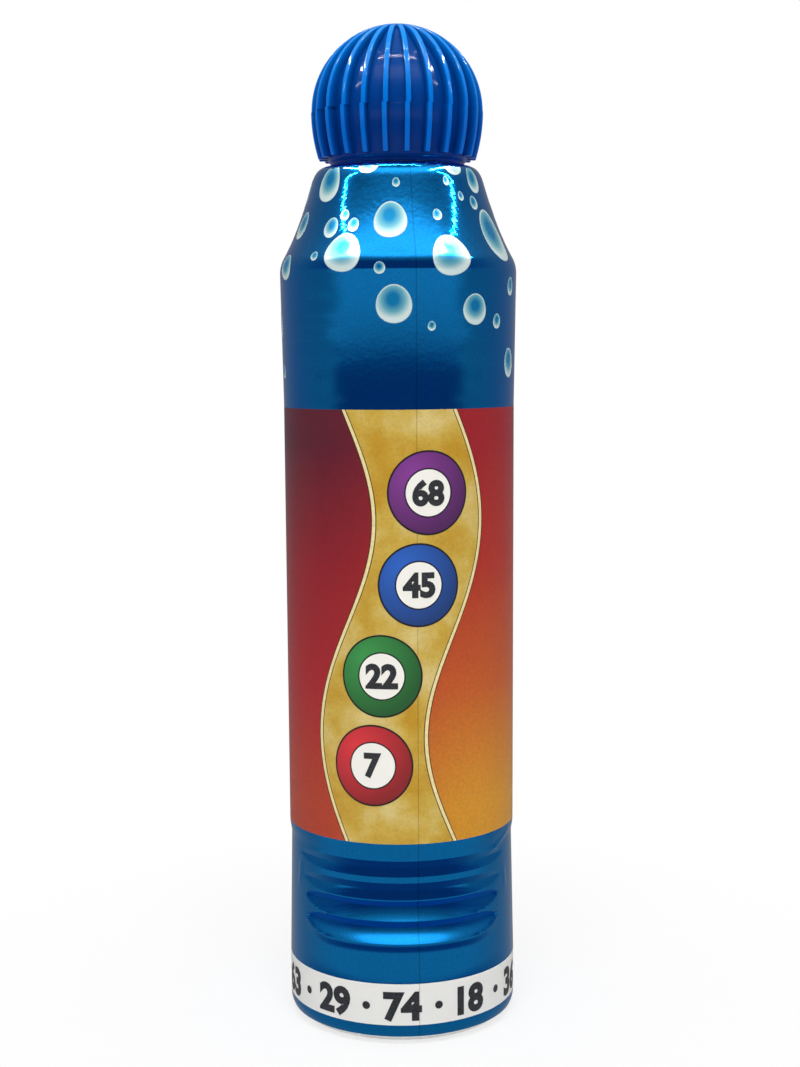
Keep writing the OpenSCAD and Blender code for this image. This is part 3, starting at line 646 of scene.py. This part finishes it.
def flatText(bm, words, size, x, y, weight):  # words as a flat mesh, drawn round their own middle
    curve = bpy.data.curves.new("figure", "FONT")
    curve.body, curve.size, curve.offset = words, size * mm, weight * size * mm / 2
    curve.align_x, curve.align_y, curve.resolution_u = "CENTER", "CENTER", 4
    source = addObject("figure", curve)
    mesh = evaluated(source)
    xs, ys = [v.co.x for v in mesh.vertices], [v.co.y for v in mesh.vertices]
    mesh.transform(Matrix.Translation((x - (min(xs) + max(xs)) / 2, y - (min(ys) + max(ys)) / 2, 0)))
    bm.from_mesh(mesh)
    bpy.data.objects.remove(source)
    bpy.data.meshes.remove(mesh)
    bpy.data.curves.remove(curve)


def flatArt(name, bm):  # cut into strips, so that the art bends round the film
    bmesh.ops.remove_doubles(bm, verts=bm.verts, dist=1e-7)
    low, high = min(v.co.x for v in bm.verts), max(v.co.x for v in bm.verts)
    cut = low + ink["strip"] * mm
    while cut < high:
        everything = bm.verts[:] + bm.edges[:] + bm.faces[:]
        bmesh.ops.bisect_plane(bm, geom=everything, plane_co=(cut, 0, 0), plane_no=(1, 0, 0))
        cut += ink["strip"] * mm
    for face in bm.faces:
        if face.normal.z < 0:
            face.normal_flip()
    return bpy.data.objects.new(name, meshFrom(bm, name, recalc=False))


def figureMaterial():  # dense and even, with faint pinholes
    material, tree, shader = startMaterial("black gravure ink under gloss film", {**filmGloss, "Roughness": 0.45})
    place = addNode(tree, "ShaderNodeTexCoord", output="Object")
    thin = addNode(tree, "ShaderNodeTexNoise", {"Vector": place, "Scale": 1 / (band["grain"] * mm), "Detail": 2.0})
    shade = addNode(tree, "ShaderNodeValToRGB", {0: thin})
    setStops(shade, [(0.35, band["colour"]), (0.75, band["pinhole"])])
    feed(shader, {"Base Color": shade})
    return material


blackInk = figureMaterial()
filmRound = 2 * pi * ink["flatR"] * mm
bandArt = bmesh.new()
for i, number in enumerate(band["numbers"]):
    x = (i / len(band["numbers"]) - 0.5) * filmRound
    flatText(bandArt, number, band["figure"], x, band["middle"] * mm, band["weight"])
    spot = Matrix.Translation((x + filmRound / len(band["numbers"]) / 2, band["middle"] * mm, 0))
    bmesh.ops.create_circle(bandArt, cap_ends=True, segments=24, radius=band["dot"] / 2 * mm, matrix=spot)
bandPrint = printOn("band_figures", flatArt("band", bandArt), wrapOnFilm, blackInk)

ballArt = bmesh.new()
for turn in (0, 0.5):
    for z, number in zip(balls["heights"], balls["numbers"]):
        x = turn * filmRound + ribbonMiddle(z) * ink["flatR"] / filmPrint["flatR"] * mm
        flatText(ballArt, number, balls["figure"], x, z * mm, band["weight"])
ballFigures = printOn("ball_figures", flatArt("figures", ballArt), wrapOnFilm, blackInk,
                      ink["thickness"] * ink["over"])
print("figures printed:", len(bandPrint.data.polygons), len(ballFigures.data.polygons), "faces")


# Cap: a smooth shell with a ring of ribs above its parting line and one below it
cap = {"flow": 6.25, "ripple": 1.1111,  # marks of the mould, in mm
       "ballR": 13.95, "ballZ": 151.06, "rimR": 12.7, "rimZ": 143.05, "ribH": 1.5, "ribW": 0.8, "ribSoft": 0.16,
       "ribCount": 24, "step": 0.07, "turn": -0.8, "rimBand": 0.4, "boreR": 10.0, "ledgeZ": 156.01, "ledgeR": 9.05,
       "domeIn": 11.05, "crownR": 3.1, "crownRise": 0.95, "crownEdge": 0.1, "sunk": 0.3, "columns": 144,
       "lipZ": 142.5, "lipR": 10.9, "beadR": 0.35, "beadZ": 154.5, "crestR": 9.05, "threadZ": 143.423,
       "lipSoft": 0.1, "rimSoft": 0.2, "partSoft": 0.02, "crownFoot": 1.6, "crownOver": 0.01, "ribEnd": 84.0,
       "riseFrom": 50.0, "riseOver": 28.0,  # degrees up the ball where the valleys rise to the crown
       "steps": {"wall": 24, "ball": 48, "crown": 12, "dome": 20, "bead": 8, "rib": 40, "soft": 4},
       "dark": "#00307A", "light": "#003684", "litRibTint": "#0062C4", "litRibPower": 3.0, "rough": (0.08, 0.14),
       "paintedLightLow": 0.148, "paintedLightTop": 0.165, "pale": (1.0, 2.4, 1.7)}  # painted light: the top of the dome is made lighter
thread = {"lead": 3.2, "turns": 1.25, "width": 1.7, "crest": 0.714, "run": 40.0, "sunk": 0.4, "steps": 60,
          "least": 0.15}


def lowerWall(top):  # wall between the ribs, from the rim up to the parting line
    wide = cap["ballR"] + cap["step"] - cap["ribH"]
    low, middle = Vector((cap["rimR"] - cap["ribH"], cap["rimZ"])), Vector((wide, (cap["rimZ"] + cap["ballZ"]) / 2))
    return bend(low, middle, Vector((wide, top)), cap["steps"]["wall"])


def onBall(r, e):  # point on a ball about the cap's middle, at an elevation in radians
    return r * cos(e), cap["ballZ"] + r * sin(e)


def capShell():
    c, steps = cap, cap["steps"]
    lip, rim = c["lipSoft"], c["rimSoft"]
    wall = lowerWall(c["ballZ"] - c["partSoft"])
    outline = [(c["boreR"], c["lipZ"] + lip), (c["boreR"] + lip, c["lipZ"]), (c["lipR"] - lip, c["lipZ"]),
               (c["lipR"], c["lipZ"] + lip), (c["lipR"], c["rimZ"]),
               (wall[0].x - rim, c["rimZ"]), (wall[0].x, c["rimZ"] + rim)]
    outline += [tuple(p) for p in wall[2:]] + [(wall[-1].x - c["partSoft"], c["ballZ"])]
    crown = degrees(asin(c["crownR"] / c["ballR"]))
    for i in range(steps["ball"] + 1):
        e = (90 - crown - c["crownFoot"]) * i / steps["ball"]
        r = c["ballR"] - c["ribH"] + c["crownRise"] * ease((e - c["riseFrom"]) / c["riseOver"])
        outline.append(onBall(r, radians(e)))
    crownR = c["ballR"] + c["crownOver"]
    outline += arc(0.0, c["ballZ"], crownR, pi / 2 - radians(crown), pi / 2, steps["crown"])  # the ribs run into it
    outline += arc(0.0, c["ballZ"], c["domeIn"], pi / 2, acos(c["ledgeR"] / c["domeIn"]), steps["dome"])
    outline += [(c["ledgeR"], c["ledgeZ"]), (c["boreR"], c["ledgeZ"])]
    outline += arc(c["boreR"], c["beadZ"], c["beadR"], pi / 2, 3 * pi / 2, steps["bead"])  # keeps the sealing ring in
    return lathe(outline, c["columns"])


def capRib(path):  # path: radius, height, direction of its top; the rib stands in front, on -Y
    half, soft, top = cap["ribW"] / 2, cap["ribSoft"], cap["ribH"]
    section = [(-half, -cap["sunk"])]
    for side, begin in ((-1, pi), (1, pi / 2)):
        section += arc(side * (half - soft), top - soft, soft, begin, begin - pi / 2, cap["steps"]["soft"])
    section.append((half, -cap["sunk"]))
    bm = bmesh.new()
    raised = bm.verts.layers.float.new("raised")
    rings = []
    for r, z, out, up in path:
        ring = []
        for x, h in section:
            ring.append(bm.verts.new((x * mm, -(r + out * h) * mm, (z + up * h) * mm)))
            ring[-1][raised] = clamp(h / top)
        rings.append(ring)
    bridge(bm, rings)
    return meshFrom(bm, "rib")


def ribTree():
    tree, g, result = newTree("ring of ribs", [("Geometry", "Geometry"), ("Count", "Int"), ("Turn", "Float"),
                                               ("Plastic", "Material")])
    points = addNode(tree, "GeometryNodePoints", {"Count": g["Count"]})
    index = addNode(tree, "GeometryNodeInputIndex")
    middle = addNode(tree, "ShaderNodeMath", {0: index, 1: 0.5}, operation="ADD")
    share = addNode(tree, "ShaderNodeMath", {0: middle, 1: g["Count"]}, operation="DIVIDE")
    angle = addNode(tree, "ShaderNodeMath", {0: share, 1: 2 * pi, 2: g["Turn"]}, operation="MULTIPLY_ADD")
    turned = addNode(tree, "ShaderNodeCombineXYZ", {2: angle})
    each = addNode(tree, "GeometryNodeInstanceOnPoints", {
        "Points": points, "Instance": g["Geometry"], "Rotation": turned})
    return finishTree(tree, each, g["Plastic"], result)


def screwRidge(bm, root, crest, middleZ, begin):  # thread of the neck and of the cap
    t = thread
    length = 360 * t["turns"]
    rings = []
    for i in range(t["steps"] + 1):
        a = length * i / t["steps"]
        f = max(t["least"], min(1, a / t["run"], (length - a) / t["run"]))  # it runs out at both ends
        top = root + (crest - root) * f
        s = radians(a + begin)
        z = middleZ + t["lead"] * (a + begin) / 360
        rings.append([bm.verts.new((r * mm * cos(s), r * mm * sin(s), (z + w / 2) * mm)) for r, w in (
            (root, -t["width"]), (top, -t["crest"]), (top, t["crest"]), (root, t["width"]))])
    bridge(bm, rings)


def capMaterial():  # injection-moulded polypropylene: deep colour, soft gloss, faint flow marks, with painted light on the rib tops and the top of the dome
    c = cap
    material, tree, shader = startMaterial("moulded polypropylene, blue", {
        "IOR": 1.49, "Specular IOR Level": 0.2, "Subsurface Weight": 0.06, "Subsurface Scale": 0.0006,
        "Subsurface Radius": (0.1, 0.4, 1.0)})
    place = addNode(tree, "ShaderNodeTexCoord", output="Object")
    flow = addNode(tree, "ShaderNodeTexNoise", {"Vector": place, "Scale": 1 / (c["flow"] * mm), "Detail": 4.0})
    colour = addNode(tree, "ShaderNodeValToRGB", {0: flow})
    setStops(colour, [(0.3, c["dark"]), (0.7, c["light"])])
    raised = addNode(tree, "ShaderNodeAttribute", output="Fac", attribute_name="raised")
    thin = addNode(tree, "ShaderNodeMath", {0: raised, 1: c["litRibPower"]}, operation="POWER")  # painted light: the rib tops are lighter and the valleys between them darker
    lit = addNode(tree, "ShaderNodeMix", {0: thin, 6: colour, 7: c["litRibTint"]}, 2, data_type="RGBA")
    z = addNode(tree, "ShaderNodeSeparateXYZ", {0: place}, "Z")
    # painted light: the colour grows lighter towards the top of the dome
    high = addNode(tree, "ShaderNodeMapRange", {"Value": z, "From Min": c["paintedLightLow"], "From Max": c["paintedLightTop"]})
    paintedTopLight = addNode(tree, "ShaderNodeMix", {0: high, 4: (1.0, 1.0, 1.0), 5: c["pale"]}, 1, data_type="VECTOR")
    shade = addNode(tree, "ShaderNodeVectorMath", {0: lit, 1: paintedTopLight}, operation="MULTIPLY")
    rough = addNode(tree, "ShaderNodeMapRange", {"Value": flow, "To Min": c["rough"][0], "To Max": c["rough"][1]})
    ripple = addNode(tree, "ShaderNodeTexNoise", {"Vector": place, "Scale": 1 / (c["ripple"] * mm), "Detail": 2.0})
    normal = addNode(tree, "ShaderNodeBump", {"Strength": 0.08, "Distance": 0.1 * mm, "Height": ripple})
    feed(shader, {"Base Color": shade, "Roughness": rough, "Normal": normal})
    return material


capBlue = capMaterial()
ringOfRibs = ribTree()
valleyR = cap["ballR"] - cap["ribH"]
upperPath = []
for i in range(cap["steps"]["rib"] + 1):
    e = radians(cap["ribEnd"] * i / cap["steps"]["rib"])
    upperPath.append((*onBall(valleyR, e), cos(e), sin(e)))
lowerPath = [(p.x, p.y, 1.0, 0.0) for p in lowerWall(cap["ballZ"]) if p.y > cap["rimZ"] + cap["rimBand"]]
capBm = capShell()
screwRidge(capBm, cap["boreR"] + thread["sunk"], cap["crestR"], cap["threadZ"], 90.0)
bmesh.ops.recalc_face_normals(capBm, faces=capBm.faces)
raised = capBm.verts.layers.float.new("raised")
crownZ = cap["ballZ"] + sqrt(cap["ballR"] ** 2 - cap["crownR"] ** 2) - cap["crownEdge"]
for vertex in capBm.verts:  # the crown is as high as the ribs, and takes their painted light too
    vertex[raised] = float(vertex.co.z > crownZ * mm)
for path, turn in ((upperPath, 0.0), (lowerPath, cap["turn"])):
    rib = bpy.data.objects.new("rib", capRib(path))
    values = {"Count": cap["ribCount"], "Turn": radians(turn), "Plastic": capBlue}
    capBm.from_mesh(runTree(rib, ringOfRibs, values))
capMesh = meshFrom(capBm, "ribbed_cap", recalc=False)
asPiece("ribbed_cap", capMesh, "cap", capBlue, ["cap_shell"], sharp=40)
print("cap built:", len(capMesh.polygons), "faces")


# Tip: foam under a stretched knitted cover
tip = {"cell": 0.4,  # of the foam, in mm
       "lowR": 6.86, "footZ": 154.68, "ringTop": 155.0, "bulge": 0.5, "foamR": 7.37, "crownZ": 156.68, "crown": 3.6,
       "gap": 0.03, "cloth": 0.3, "hemIn": 6.92, "hemZ": 153.45, "pleats": 26, "pleatDepth": 0.05, "stroke": 2.2,
       "footLift": 0.9, "footIn": 0.12, "footRise": 0.7, "steps": 32, "gather": 1.4, "stitch": 0.45, "sideArc": 0.75,
       "foamColumns": 96, "clothColumns": 208}


def tipLine(lift):
    t = tip
    r = t["foamR"] + lift
    line = [(t["lowR"] + lift * t["footLift"], t["ringTop"]),
            (r - t["footIn"], t["ringTop"] + t["bulge"] * t["footRise"])]
    for i in range(t["steps"]):
        e = pi / 2 * i / t["steps"]
        line.append((r * cos(e), t["crownZ"] + (t["crown"] + lift) * sin(e)))
    return line + [(0.0, t["crownZ"] + t["crown"] + lift)]


def foamMaterial():  # polyurethane: matt and pitted, with painted shade darkening the pits
    material, tree, shader = startMaterial("open-cell foam", {"Roughness": 0.95, "IOR": 1.4, "Sheen Weight": 0.1})
    place = addNode(tree, "ShaderNodeTexCoord", output="Object")
    cells = addNode(tree, "ShaderNodeTexVoronoi", {"Vector": place, "Scale": 1 / (tip["cell"] * mm)}, "Distance")
    colour = addNode(tree, "ShaderNodeValToRGB", {0: cells})
    setStops(colour, [(0.05, "#B9B5A6"), (0.5, "#EFEBDD")])
    normal = addNode(tree, "ShaderNodeBump", {"Strength": 0.6, "Distance": 0.2 * mm, "Height": cells})
    feed(shader, {"Base Color": colour, "Normal": normal})
    return material


def clothMaterial():  # fine knit: matt, with a soft pale edge, and painted shade darkening the gaps between the threads
    material, tree, shader = startMaterial("knitted polyester", {
        "Roughness": 0.85, "IOR": 1.45, "Sheen Weight": 0.25, "Sheen Roughness": 0.5})
    uv = addNode(tree, "ShaderNodeUVMap", uv_map="weave")
    threads = {"Vector": uv, "Scale": 0.5, "Distortion": 0.6, "Detail": 1.0}
    waves = [addNode(tree, "ShaderNodeTexWave", threads, "Fac", bands_direction=way) for way in ("X", "Y")]
    knit = addNode(tree, "ShaderNodeMath", {0: waves[0], 1: waves[1]}, operation="MULTIPLY")
    colour = addNode(tree, "ShaderNodeValToRGB", {0: knit})
    setStops(colour, [(0.0, "#C8C4B6"), (0.6, "#EEEBE1")])
    normal = addNode(tree, "ShaderNodeBump", {"Strength": 0.5, "Distance": 0.12 * mm, "Height": knit})
    feed(shader, {"Base Color": colour, "Normal": normal})
    return material


foamOutline = [(0.0, tip["footZ"]), (tip["lowR"], tip["footZ"])] + tipLine(0.0)
foamMesh = meshFrom(lathe(foamOutline, tip["foamColumns"], closed=False), "foam")
foamPiece = asPiece("foam_pad", foamMesh, "tip", foamMaterial(), ["foam_tip"])

coverOutside = tipLine(tip["gap"] + tip["cloth"])
coverInside = tipLine(tip["gap"])
hemOut = tip["hemIn"] + tip["cloth"]
hem = [(tip["hemIn"], tip["hemZ"]), (hemOut, tip["hemZ"]), (hemOut, tip["ringTop"])]
coverOutline = hem + coverOutside[1:] + coverInside[1:][::-1] + [(tip["hemIn"], tip["ringTop"])]


def pleat(k, a):  # the cloth is gathered where it goes under the ring
    z = coverOutline[k][1]
    near = ease((tip["crownZ"] - z) / tip["gather"]) if z > tip["ringTop"] else 0.0
    return tip["pleatDepth"] * cos(tip["pleats"] * a) * near


coverMesh = meshFrom(lathe(coverOutline, tip["clothColumns"], wave=pleat), "cover")
weave = coverMesh.uv_layers.new(name="weave")
for loop in coverMesh.loops:  # the flat cut: the arc from the crown, in units of one stitch
    p = coverMesh.vertices[loop.vertex_index].co / mm
    far = hypot(p.x, p.y)
    reach = far + max(0.0, tip["crownZ"] + tip["crown"] - p.z) * tip["sideArc"]
    weave.data[loop.index].uv = p.xy / max(far, 1e-6) * reach / tip["stitch"]
coverPiece = asPiece("cloth_cover", coverMesh, "tip", clothMaterial(), ["tip_cover"], sharp=60)
print("tip built")


# Bottle and ink, with the same grip as the film
bottle = {"columns": 108, "wall": 1.0, "footR": 12.98, "pushUp": 2.2, "neckR": 8.8, "neckTop": 149.8, "neckSoft": 0.3,
          "fillet": 0.5, "boreR": 6.7, "crestR": 9.75, "threadZ": 144.7, "inkGap": 0.3, "inkTop": 110.5,
          "baseSteps": 6, "filletSteps": 4}


def recessed(outline):  # the grip presses the wall in, all through
    def wave(k, a):
        p = outline[k]
        return -pressedIn(fromFront(a), p.y) if p.x > bottle["footR"] else 0.0
    return lathe([tuple(p) for p in outline], bottle["columns"], wave=wave)


def outsideRows():
    shares = [i / bottle["baseSteps"] for i in range(bottle["baseSteps"] + 1)]
    return [Vector((bottle["footR"] * t, bottle["pushUp"] * (1 - t * t))) for t in shares] + bodyRows(0.0)


def insideRows(gap):
    rows = shifted(outsideRows(), -gap)
    rows[0].x = 0.0
    return rows


def neckRows():
    r, bore, top = bottle["neckR"], bottle["boreR"], bottle["neckTop"]
    soft, fillet, deck = bottle["neckSoft"], bottle["fillet"], film["deckZ"]
    rows = bend(Vector((r + fillet, deck)), Vector((r, deck)), Vector((r, deck + fillet)), bottle["filletSteps"])
    return rows + [Vector(p) for p in ((r, top - soft), (r - soft, top), (bore + soft, top), (bore, top - soft),
                                       (bore, deck - bottle["wall"]))]


bottleBm = recessed(outsideRows() + neckRows() + insideRows(bottle["wall"])[::-1])
screwRidge(bottleBm, bottle["neckR"] - thread["sunk"], bottle["crestR"], bottle["threadZ"], 0.0)
inkRows = [p for p in insideRows(bottle["wall"] + bottle["inkGap"]) if p.y < bottle["inkTop"]]
inkBm = recessed(inkRows + [Vector((inkRows[-1].x, bottle["inkTop"])), Vector((0.0, bottle["inkTop"]))])


# Materials of the bottle, the ink and the CAD nodes that stay
def grainMaterial(name, constants, dark, light, size, depth):  # size and depth of the grain in mm
    material, tree, shader = startMaterial(name, constants)
    place = addNode(tree, "ShaderNodeTexCoord", output="Object")
    grain = addNode(tree, "ShaderNodeTexNoise", {"Vector": place, "Scale": 1 / (size * mm), "Detail": 3.0})
    colour = addNode(tree, "ShaderNodeValToRGB", {0: grain})
    setStops(colour, [(0.3, dark), (0.7, light)])
    normal = addNode(tree, "ShaderNodeBump", {"Strength": 0.3, "Distance": depth * mm, "Height": grain})
    feed(shader, {"Base Color": colour, "Normal": normal})
    return material


finishes = {
    # satin, slightly waxy
    "bottle": ("blow-moulded polyethylene, white",
               {"Roughness": 0.42, "IOR": 1.54, "Subsurface Weight": 0.1, "Subsurface Scale": 0.002},
               "#E9E8E3", "#F3F2EE", 1.5, 0.03),
    # milky
    "valve_housing": ("moulded polypropylene, natural",
                      {"Roughness": 0.36, "IOR": 1.49, "Subsurface Weight": 0.15, "Subsurface Scale": 0.002},
                      "#DADDDB", "#E8EBE9", 1.0, 0.01),
    # waxy
    "valve_stem": ("moulded acetal", {"Roughness": 0.3, "IOR": 1.48}, "#D3D6D7", "#E2E4E4", 1.0, 0.01),
    # matt
    "valve_gasket": ("nitrile rubber", {"Roughness": 0.7, "IOR": 1.52}, "#1E1E20", "#2C2C2E", 0.4, 0.02),
    # bright
    "valve_spring": ("drawn stainless wire", {"Metallic": 1.0, "Roughness": 0.28}, "#A9ACB0", "#C4C7CA", 0.3, 0.005),
    # wet
    "ink_fill": ("blue dye ink", {"Roughness": 0.08, "IOR": 1.34}, "#0A2484", "#0D2E9C", 6.0, 0.0),
    # dull, with fine pores
    "cap_liner": ("expanded polyethylene", {"Roughness": 0.75, "IOR": 1.4}, "#E4E4E4", "#F4F4F4", 0.3, 0.04)}
finished = {name: grainMaterial(*finish) for name, finish in finishes.items()}
finished["spring_retainer"] = finished["tip_clamp_ring"] = finished["valve_housing"]
finished["tip_plate"] = finished["valve_stem"]
for name, bm, slot, node in (("blown_bottle", bottleBm, "bottle_white", "bottle"),
                             ("ink_inside", inkBm, "ink", "ink_fill")):
    asPiece(name, meshFrom(bm, name), "bottle", finished.pop(node), [node])
for name, material in finished.items():
    nodes[name].data.materials.clear()
    nodes[name].data.materials.append(material)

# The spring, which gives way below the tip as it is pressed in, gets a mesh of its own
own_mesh(nodes["valve_spring"])
print("CAD nodes finished:", len(finished))


# Studio: pale floor and key light, with a light tent, a floor apron and five strip lamps that only reflections see
studio = {"floor": 3.0, "tentR": 1.6, "eye": 0.113, "world": 0.66, "apronIn": 0.0178, "apronZ": 0.0006, "aim": 0.1,
          "glow": 2.0, "fade": (0.02, 0.11), "nearWhite": 0.7,  # the floor turns white away from the object
          # lamps: place, width, height, watts, lean in degrees
          "strips": [((0.0, -0.05, 0.56), 0.30, 0.006, 0.6, 0), ((-0.22, -0.02, 0.42), 0.24, 0.014, 1.8, 0),
                     ((0.22, -0.02, 0.42), 0.24, 0.014, 1.8, 0),
                     ((-0.085, -0.034, 0.197), 0.0010, 0.037, 0.010, -45),
                     ((0.085, -0.030, 0.196), 0.0010, 0.042, 0.011, 45)],
          "key": ((0.0, -0.42, 0.9), 0.5, 0.3, 4.7, 0),
          # reflections by elevation in degrees: in front, beside that, and at the sides and behind
          "front": [(-30, 0.08), (-2.0, 0.08), (-1.6, 0.35), (-0.4, 0.44), (0.5, 0.5), (4.2, 0.5), (4.8, 0.085),
                    (28, 0.085), (36, 0.24), (42, 0.52), (48, 1.45), (54, 1.75), (60, 1.7), (66, 0.6), (72, 0.3),
                    (90, 0.25)],
          "flank": [(-30, 0.2), (0, 0.26), (5, 0.22), (9, 0.13), (26, 0.13), (40, 0.46), (50, 1.0), (60, 1.1),
                    (70, 0.5), (90, 0.4)],
          "side": [(-30, 0.16), (0, 0.22), (25, 0.24), (45, 0.34), (64, 0.36), (90, 0.4)],
          "turns": [(58, 71), (71, 112)],  # degrees from the front where these meet
          "uneven": 1.1, "waver": 0.02909,  # how much that edge wavers, in radians, and how often, in metres
          "dim": [0.75, 0.9, 1.8], "dimTo": 0.1, "greyFrom": 0.25,  # tint of the darkest places of the room
          # reflections of the floor by distance in metres, with a painted shadow of the object as the dark ring near
          # it
          "apron": [(0.0, 0.3), (0.027, 0.3), (0.032, 0.1), (0.045, 0.1), (0.05, 0.37), (0.2, 0.38), (0.4, 0.3),
                    (0.7, 0.1)],
          "backLevel": 0.28, "backEdge": (-0.03, 0.01)}  # behind the object


def roomTint(level):
    grey = clamp((level - studio["dimTo"]) / (studio["greyFrom"] - studio["dimTo"]))
    return [level / studio["glow"] * (d + (1 - d) * grey) for d in studio["dim"]] + [1.0]


def seenDirectly(tree):  # 1 for the camera, reflections and what is seen through things, 0 for light that falls
    path = addNode(tree, "ShaderNodeLightPath", output=None)
    seen = path["Is Camera Ray"]
    for other in ("Is Glossy Ray", "Is Transmission Ray"):
        seen = addNode(tree, "ShaderNodeMath", {0: seen, 1: path[other]}, operation="MAXIMUM")
    return seen


def floorMaterial():  # white to the camera away from the object, and it keeps the shadow near it
    material, tree, shader = startMaterial("white sweep", {"Base Color": "#F4F4F4", "Roughness": 0.9,
                                                          "Specular IOR Level": 0.0})
    near, far = studio["fade"]
    place = addNode(tree, "ShaderNodeTexCoord", output="Object")
    away = addNode(tree, "ShaderNodeVectorMath", {0: place}, "Value", operation="LENGTH")
    white = addNode(tree, "ShaderNodeMapRange", {
        "Value": away, "From Min": near, "From Max": far, "To Min": studio["nearWhite"]})
    amount = addNode(tree, "ShaderNodeMath", {0: white, 1: seenDirectly(tree)}, operation="MULTIPLY")
    glow = addNode(tree, "ShaderNodeEmission", {"Color": (1, 1, 1, 1), "Strength": 1.0})
    mix = addNode(tree, "ShaderNodeMixShader", {0: amount, 1: shader.outputs[0], 2: glow})
    tree.links.new(mix, tree.nodes["Material Output"].inputs[0])
    return material


def glowMaterial(name):
    material, tree, shader = startMaterial(name, {})
    tree.nodes.remove(shader)
    glow = addNode(tree, "ShaderNodeEmission", {"Strength": studio["glow"]})
    tree.links.new(glow, tree.nodes["Material Output"].inputs[0])
    place = addNode(tree, "ShaderNodeTexCoord", output="Object")
    return material, tree, place, glow.node.inputs["Color"]


def tentMaterial():  # bright roof in front, a pale wall at eye level, dim sides and back
    material, tree, place, result = glowMaterial("light tent")
    way = addNode(tree, "ShaderNodeVectorMath", {0: place}, operation="NORMALIZE")
    xyz = addNode(tree, "ShaderNodeSeparateXYZ", {0: way}, None)
    share = addNode(tree, "ShaderNodeMapRange", {"Value": xyz["Z"], "From Min": -1.0})
    ramps = []
    for name in ("front", "flank", "side"):
        ramp = addNode(tree, "ShaderNodeValToRGB", {0: share})
        ramps.append(setStops(ramp, [(0.5 + 0.5 * sin(radians(e)), roomTint(v)) for e, v in studio[name]]))
    waver = addNode(tree, "ShaderNodeTexNoise", {
        "W": xyz["Z"], "Scale": studio["tentR"] / studio["waver"], "Detail": 2.0}, noise_dimensions="1D")
    drift = addNode(tree, "ShaderNodeMapRange", {
        "Value": waver, "To Min": -studio["uneven"] / 2, "To Max": studio["uneven"] / 2})
    aside = addNode(tree, "ShaderNodeMath", {0: turnOf(xyz)}, operation="ABSOLUTE")
    aside = addNode(tree, "ShaderNodeMath", {0: aside, 1: drift}, operation="ADD")
    light = ramps[0]
    for (begin, end), ramp in zip(studio["turns"], ramps[1:]):
        edge = addNode(tree, "ShaderNodeMapRange", {
            "Value": aside, "From Min": radians(begin), "From Max": radians(end)})
        light = addNode(tree, "ShaderNodeMix", {0: edge, 6: light, 7: ramp}, 2, data_type="RGBA")
    tree.links.new(light, result)
    return material


def apronMaterial():  # the floor as the film mirrors it: a dark ring of painted shadow round the object, then pale paper, then the room
    material, tree, place, result = glowMaterial("floor in reflections")
    far = addNode(tree, "ShaderNodeVectorMath", {0: place}, "Value", operation="LENGTH")
    paper = addNode(tree, "ShaderNodeValToRGB", {0: far})
    setStops(paper, [(d, roomTint(v)) for d, v in studio["apron"]])
    low, high = studio["backEdge"]
    y = addNode(tree, "ShaderNodeSeparateXYZ", {0: place}, "Y")
    behind = addNode(tree, "ShaderNodeMapRange", {"Value": y, "From Min": low, "From Max": high})
    dim = roomTint(studio["backLevel"])
    light = addNode(tree, "ShaderNodeMix", {0: behind, 6: paper, 7: dim}, 2, data_type="RGBA")
    tree.links.new(light, result)
    return material


floorBm = bmesh.new()
bmesh.ops.create_grid(floorBm, x_segments=2, y_segments=2, size=studio["floor"])
floor = addObject("floor", meshFrom(floorBm, "floor", recalc=False))
floor.data.materials.append(floorMaterial())

tentBm = bmesh.new()
bmesh.ops.create_uvsphere(tentBm, u_segments=64, v_segments=48, radius=studio["tentR"])
apronLine = [(r / mm, studio["apronZ"] / mm) for r in (studio["apronIn"], studio["tentR"])]
apronBm = lathe(apronLine, 64, closed=False)
for name, bm, material, height in (("tent", tentBm, tentMaterial(), studio["eye"]),
                                   ("apron", apronBm, apronMaterial(), 0.0)):
    shown = addObject(name, meshFrom(bm, name))
    shown.data.shade_smooth()
    shown.data.materials.append(material)
    shown.location.z = height
    shown.visible_camera = shown.visible_diffuse = shown.visible_shadow = shown.visible_transmission = False


def addLamp(name, place, wide, high, watts, lean):
    data = bpy.data.lights.new(name, "AREA")
    data.shape, data.size, data.size_y, data.energy = "RECTANGLE", wide, high, watts
    lamp = addObject(name, data)
    lamp.location = place
    lamp.rotation_mode = "QUATERNION"
    facing = (Vector((0, 0, studio["aim"])) - Vector(place)).to_track_quat("-Z", "Y")
    lamp.rotation_quaternion = facing @ Quaternion((0, 0, 1), radians(lean))
    return lamp


for i, strip in enumerate(studio["strips"]):
    lamp = addLamp(f"strip{i}", *strip)
    lamp.visible_diffuse = lamp.visible_camera = False
key = addLamp("key", *studio["key"])
key.visible_glossy = False

world = bpy.data.worlds.new("studio")
scene.world = world
world.use_nodes = True
sky = world.node_tree
level = addNode(sky, "ShaderNodeMapRange", {"Value": seenDirectly(sky), "To Min": studio["world"]})
feed(sky.nodes["Background"], {"Color": (1, 1, 1, 1), "Strength": level})
scene.view_settings.view_transform = "Standard"
print("studio lit")
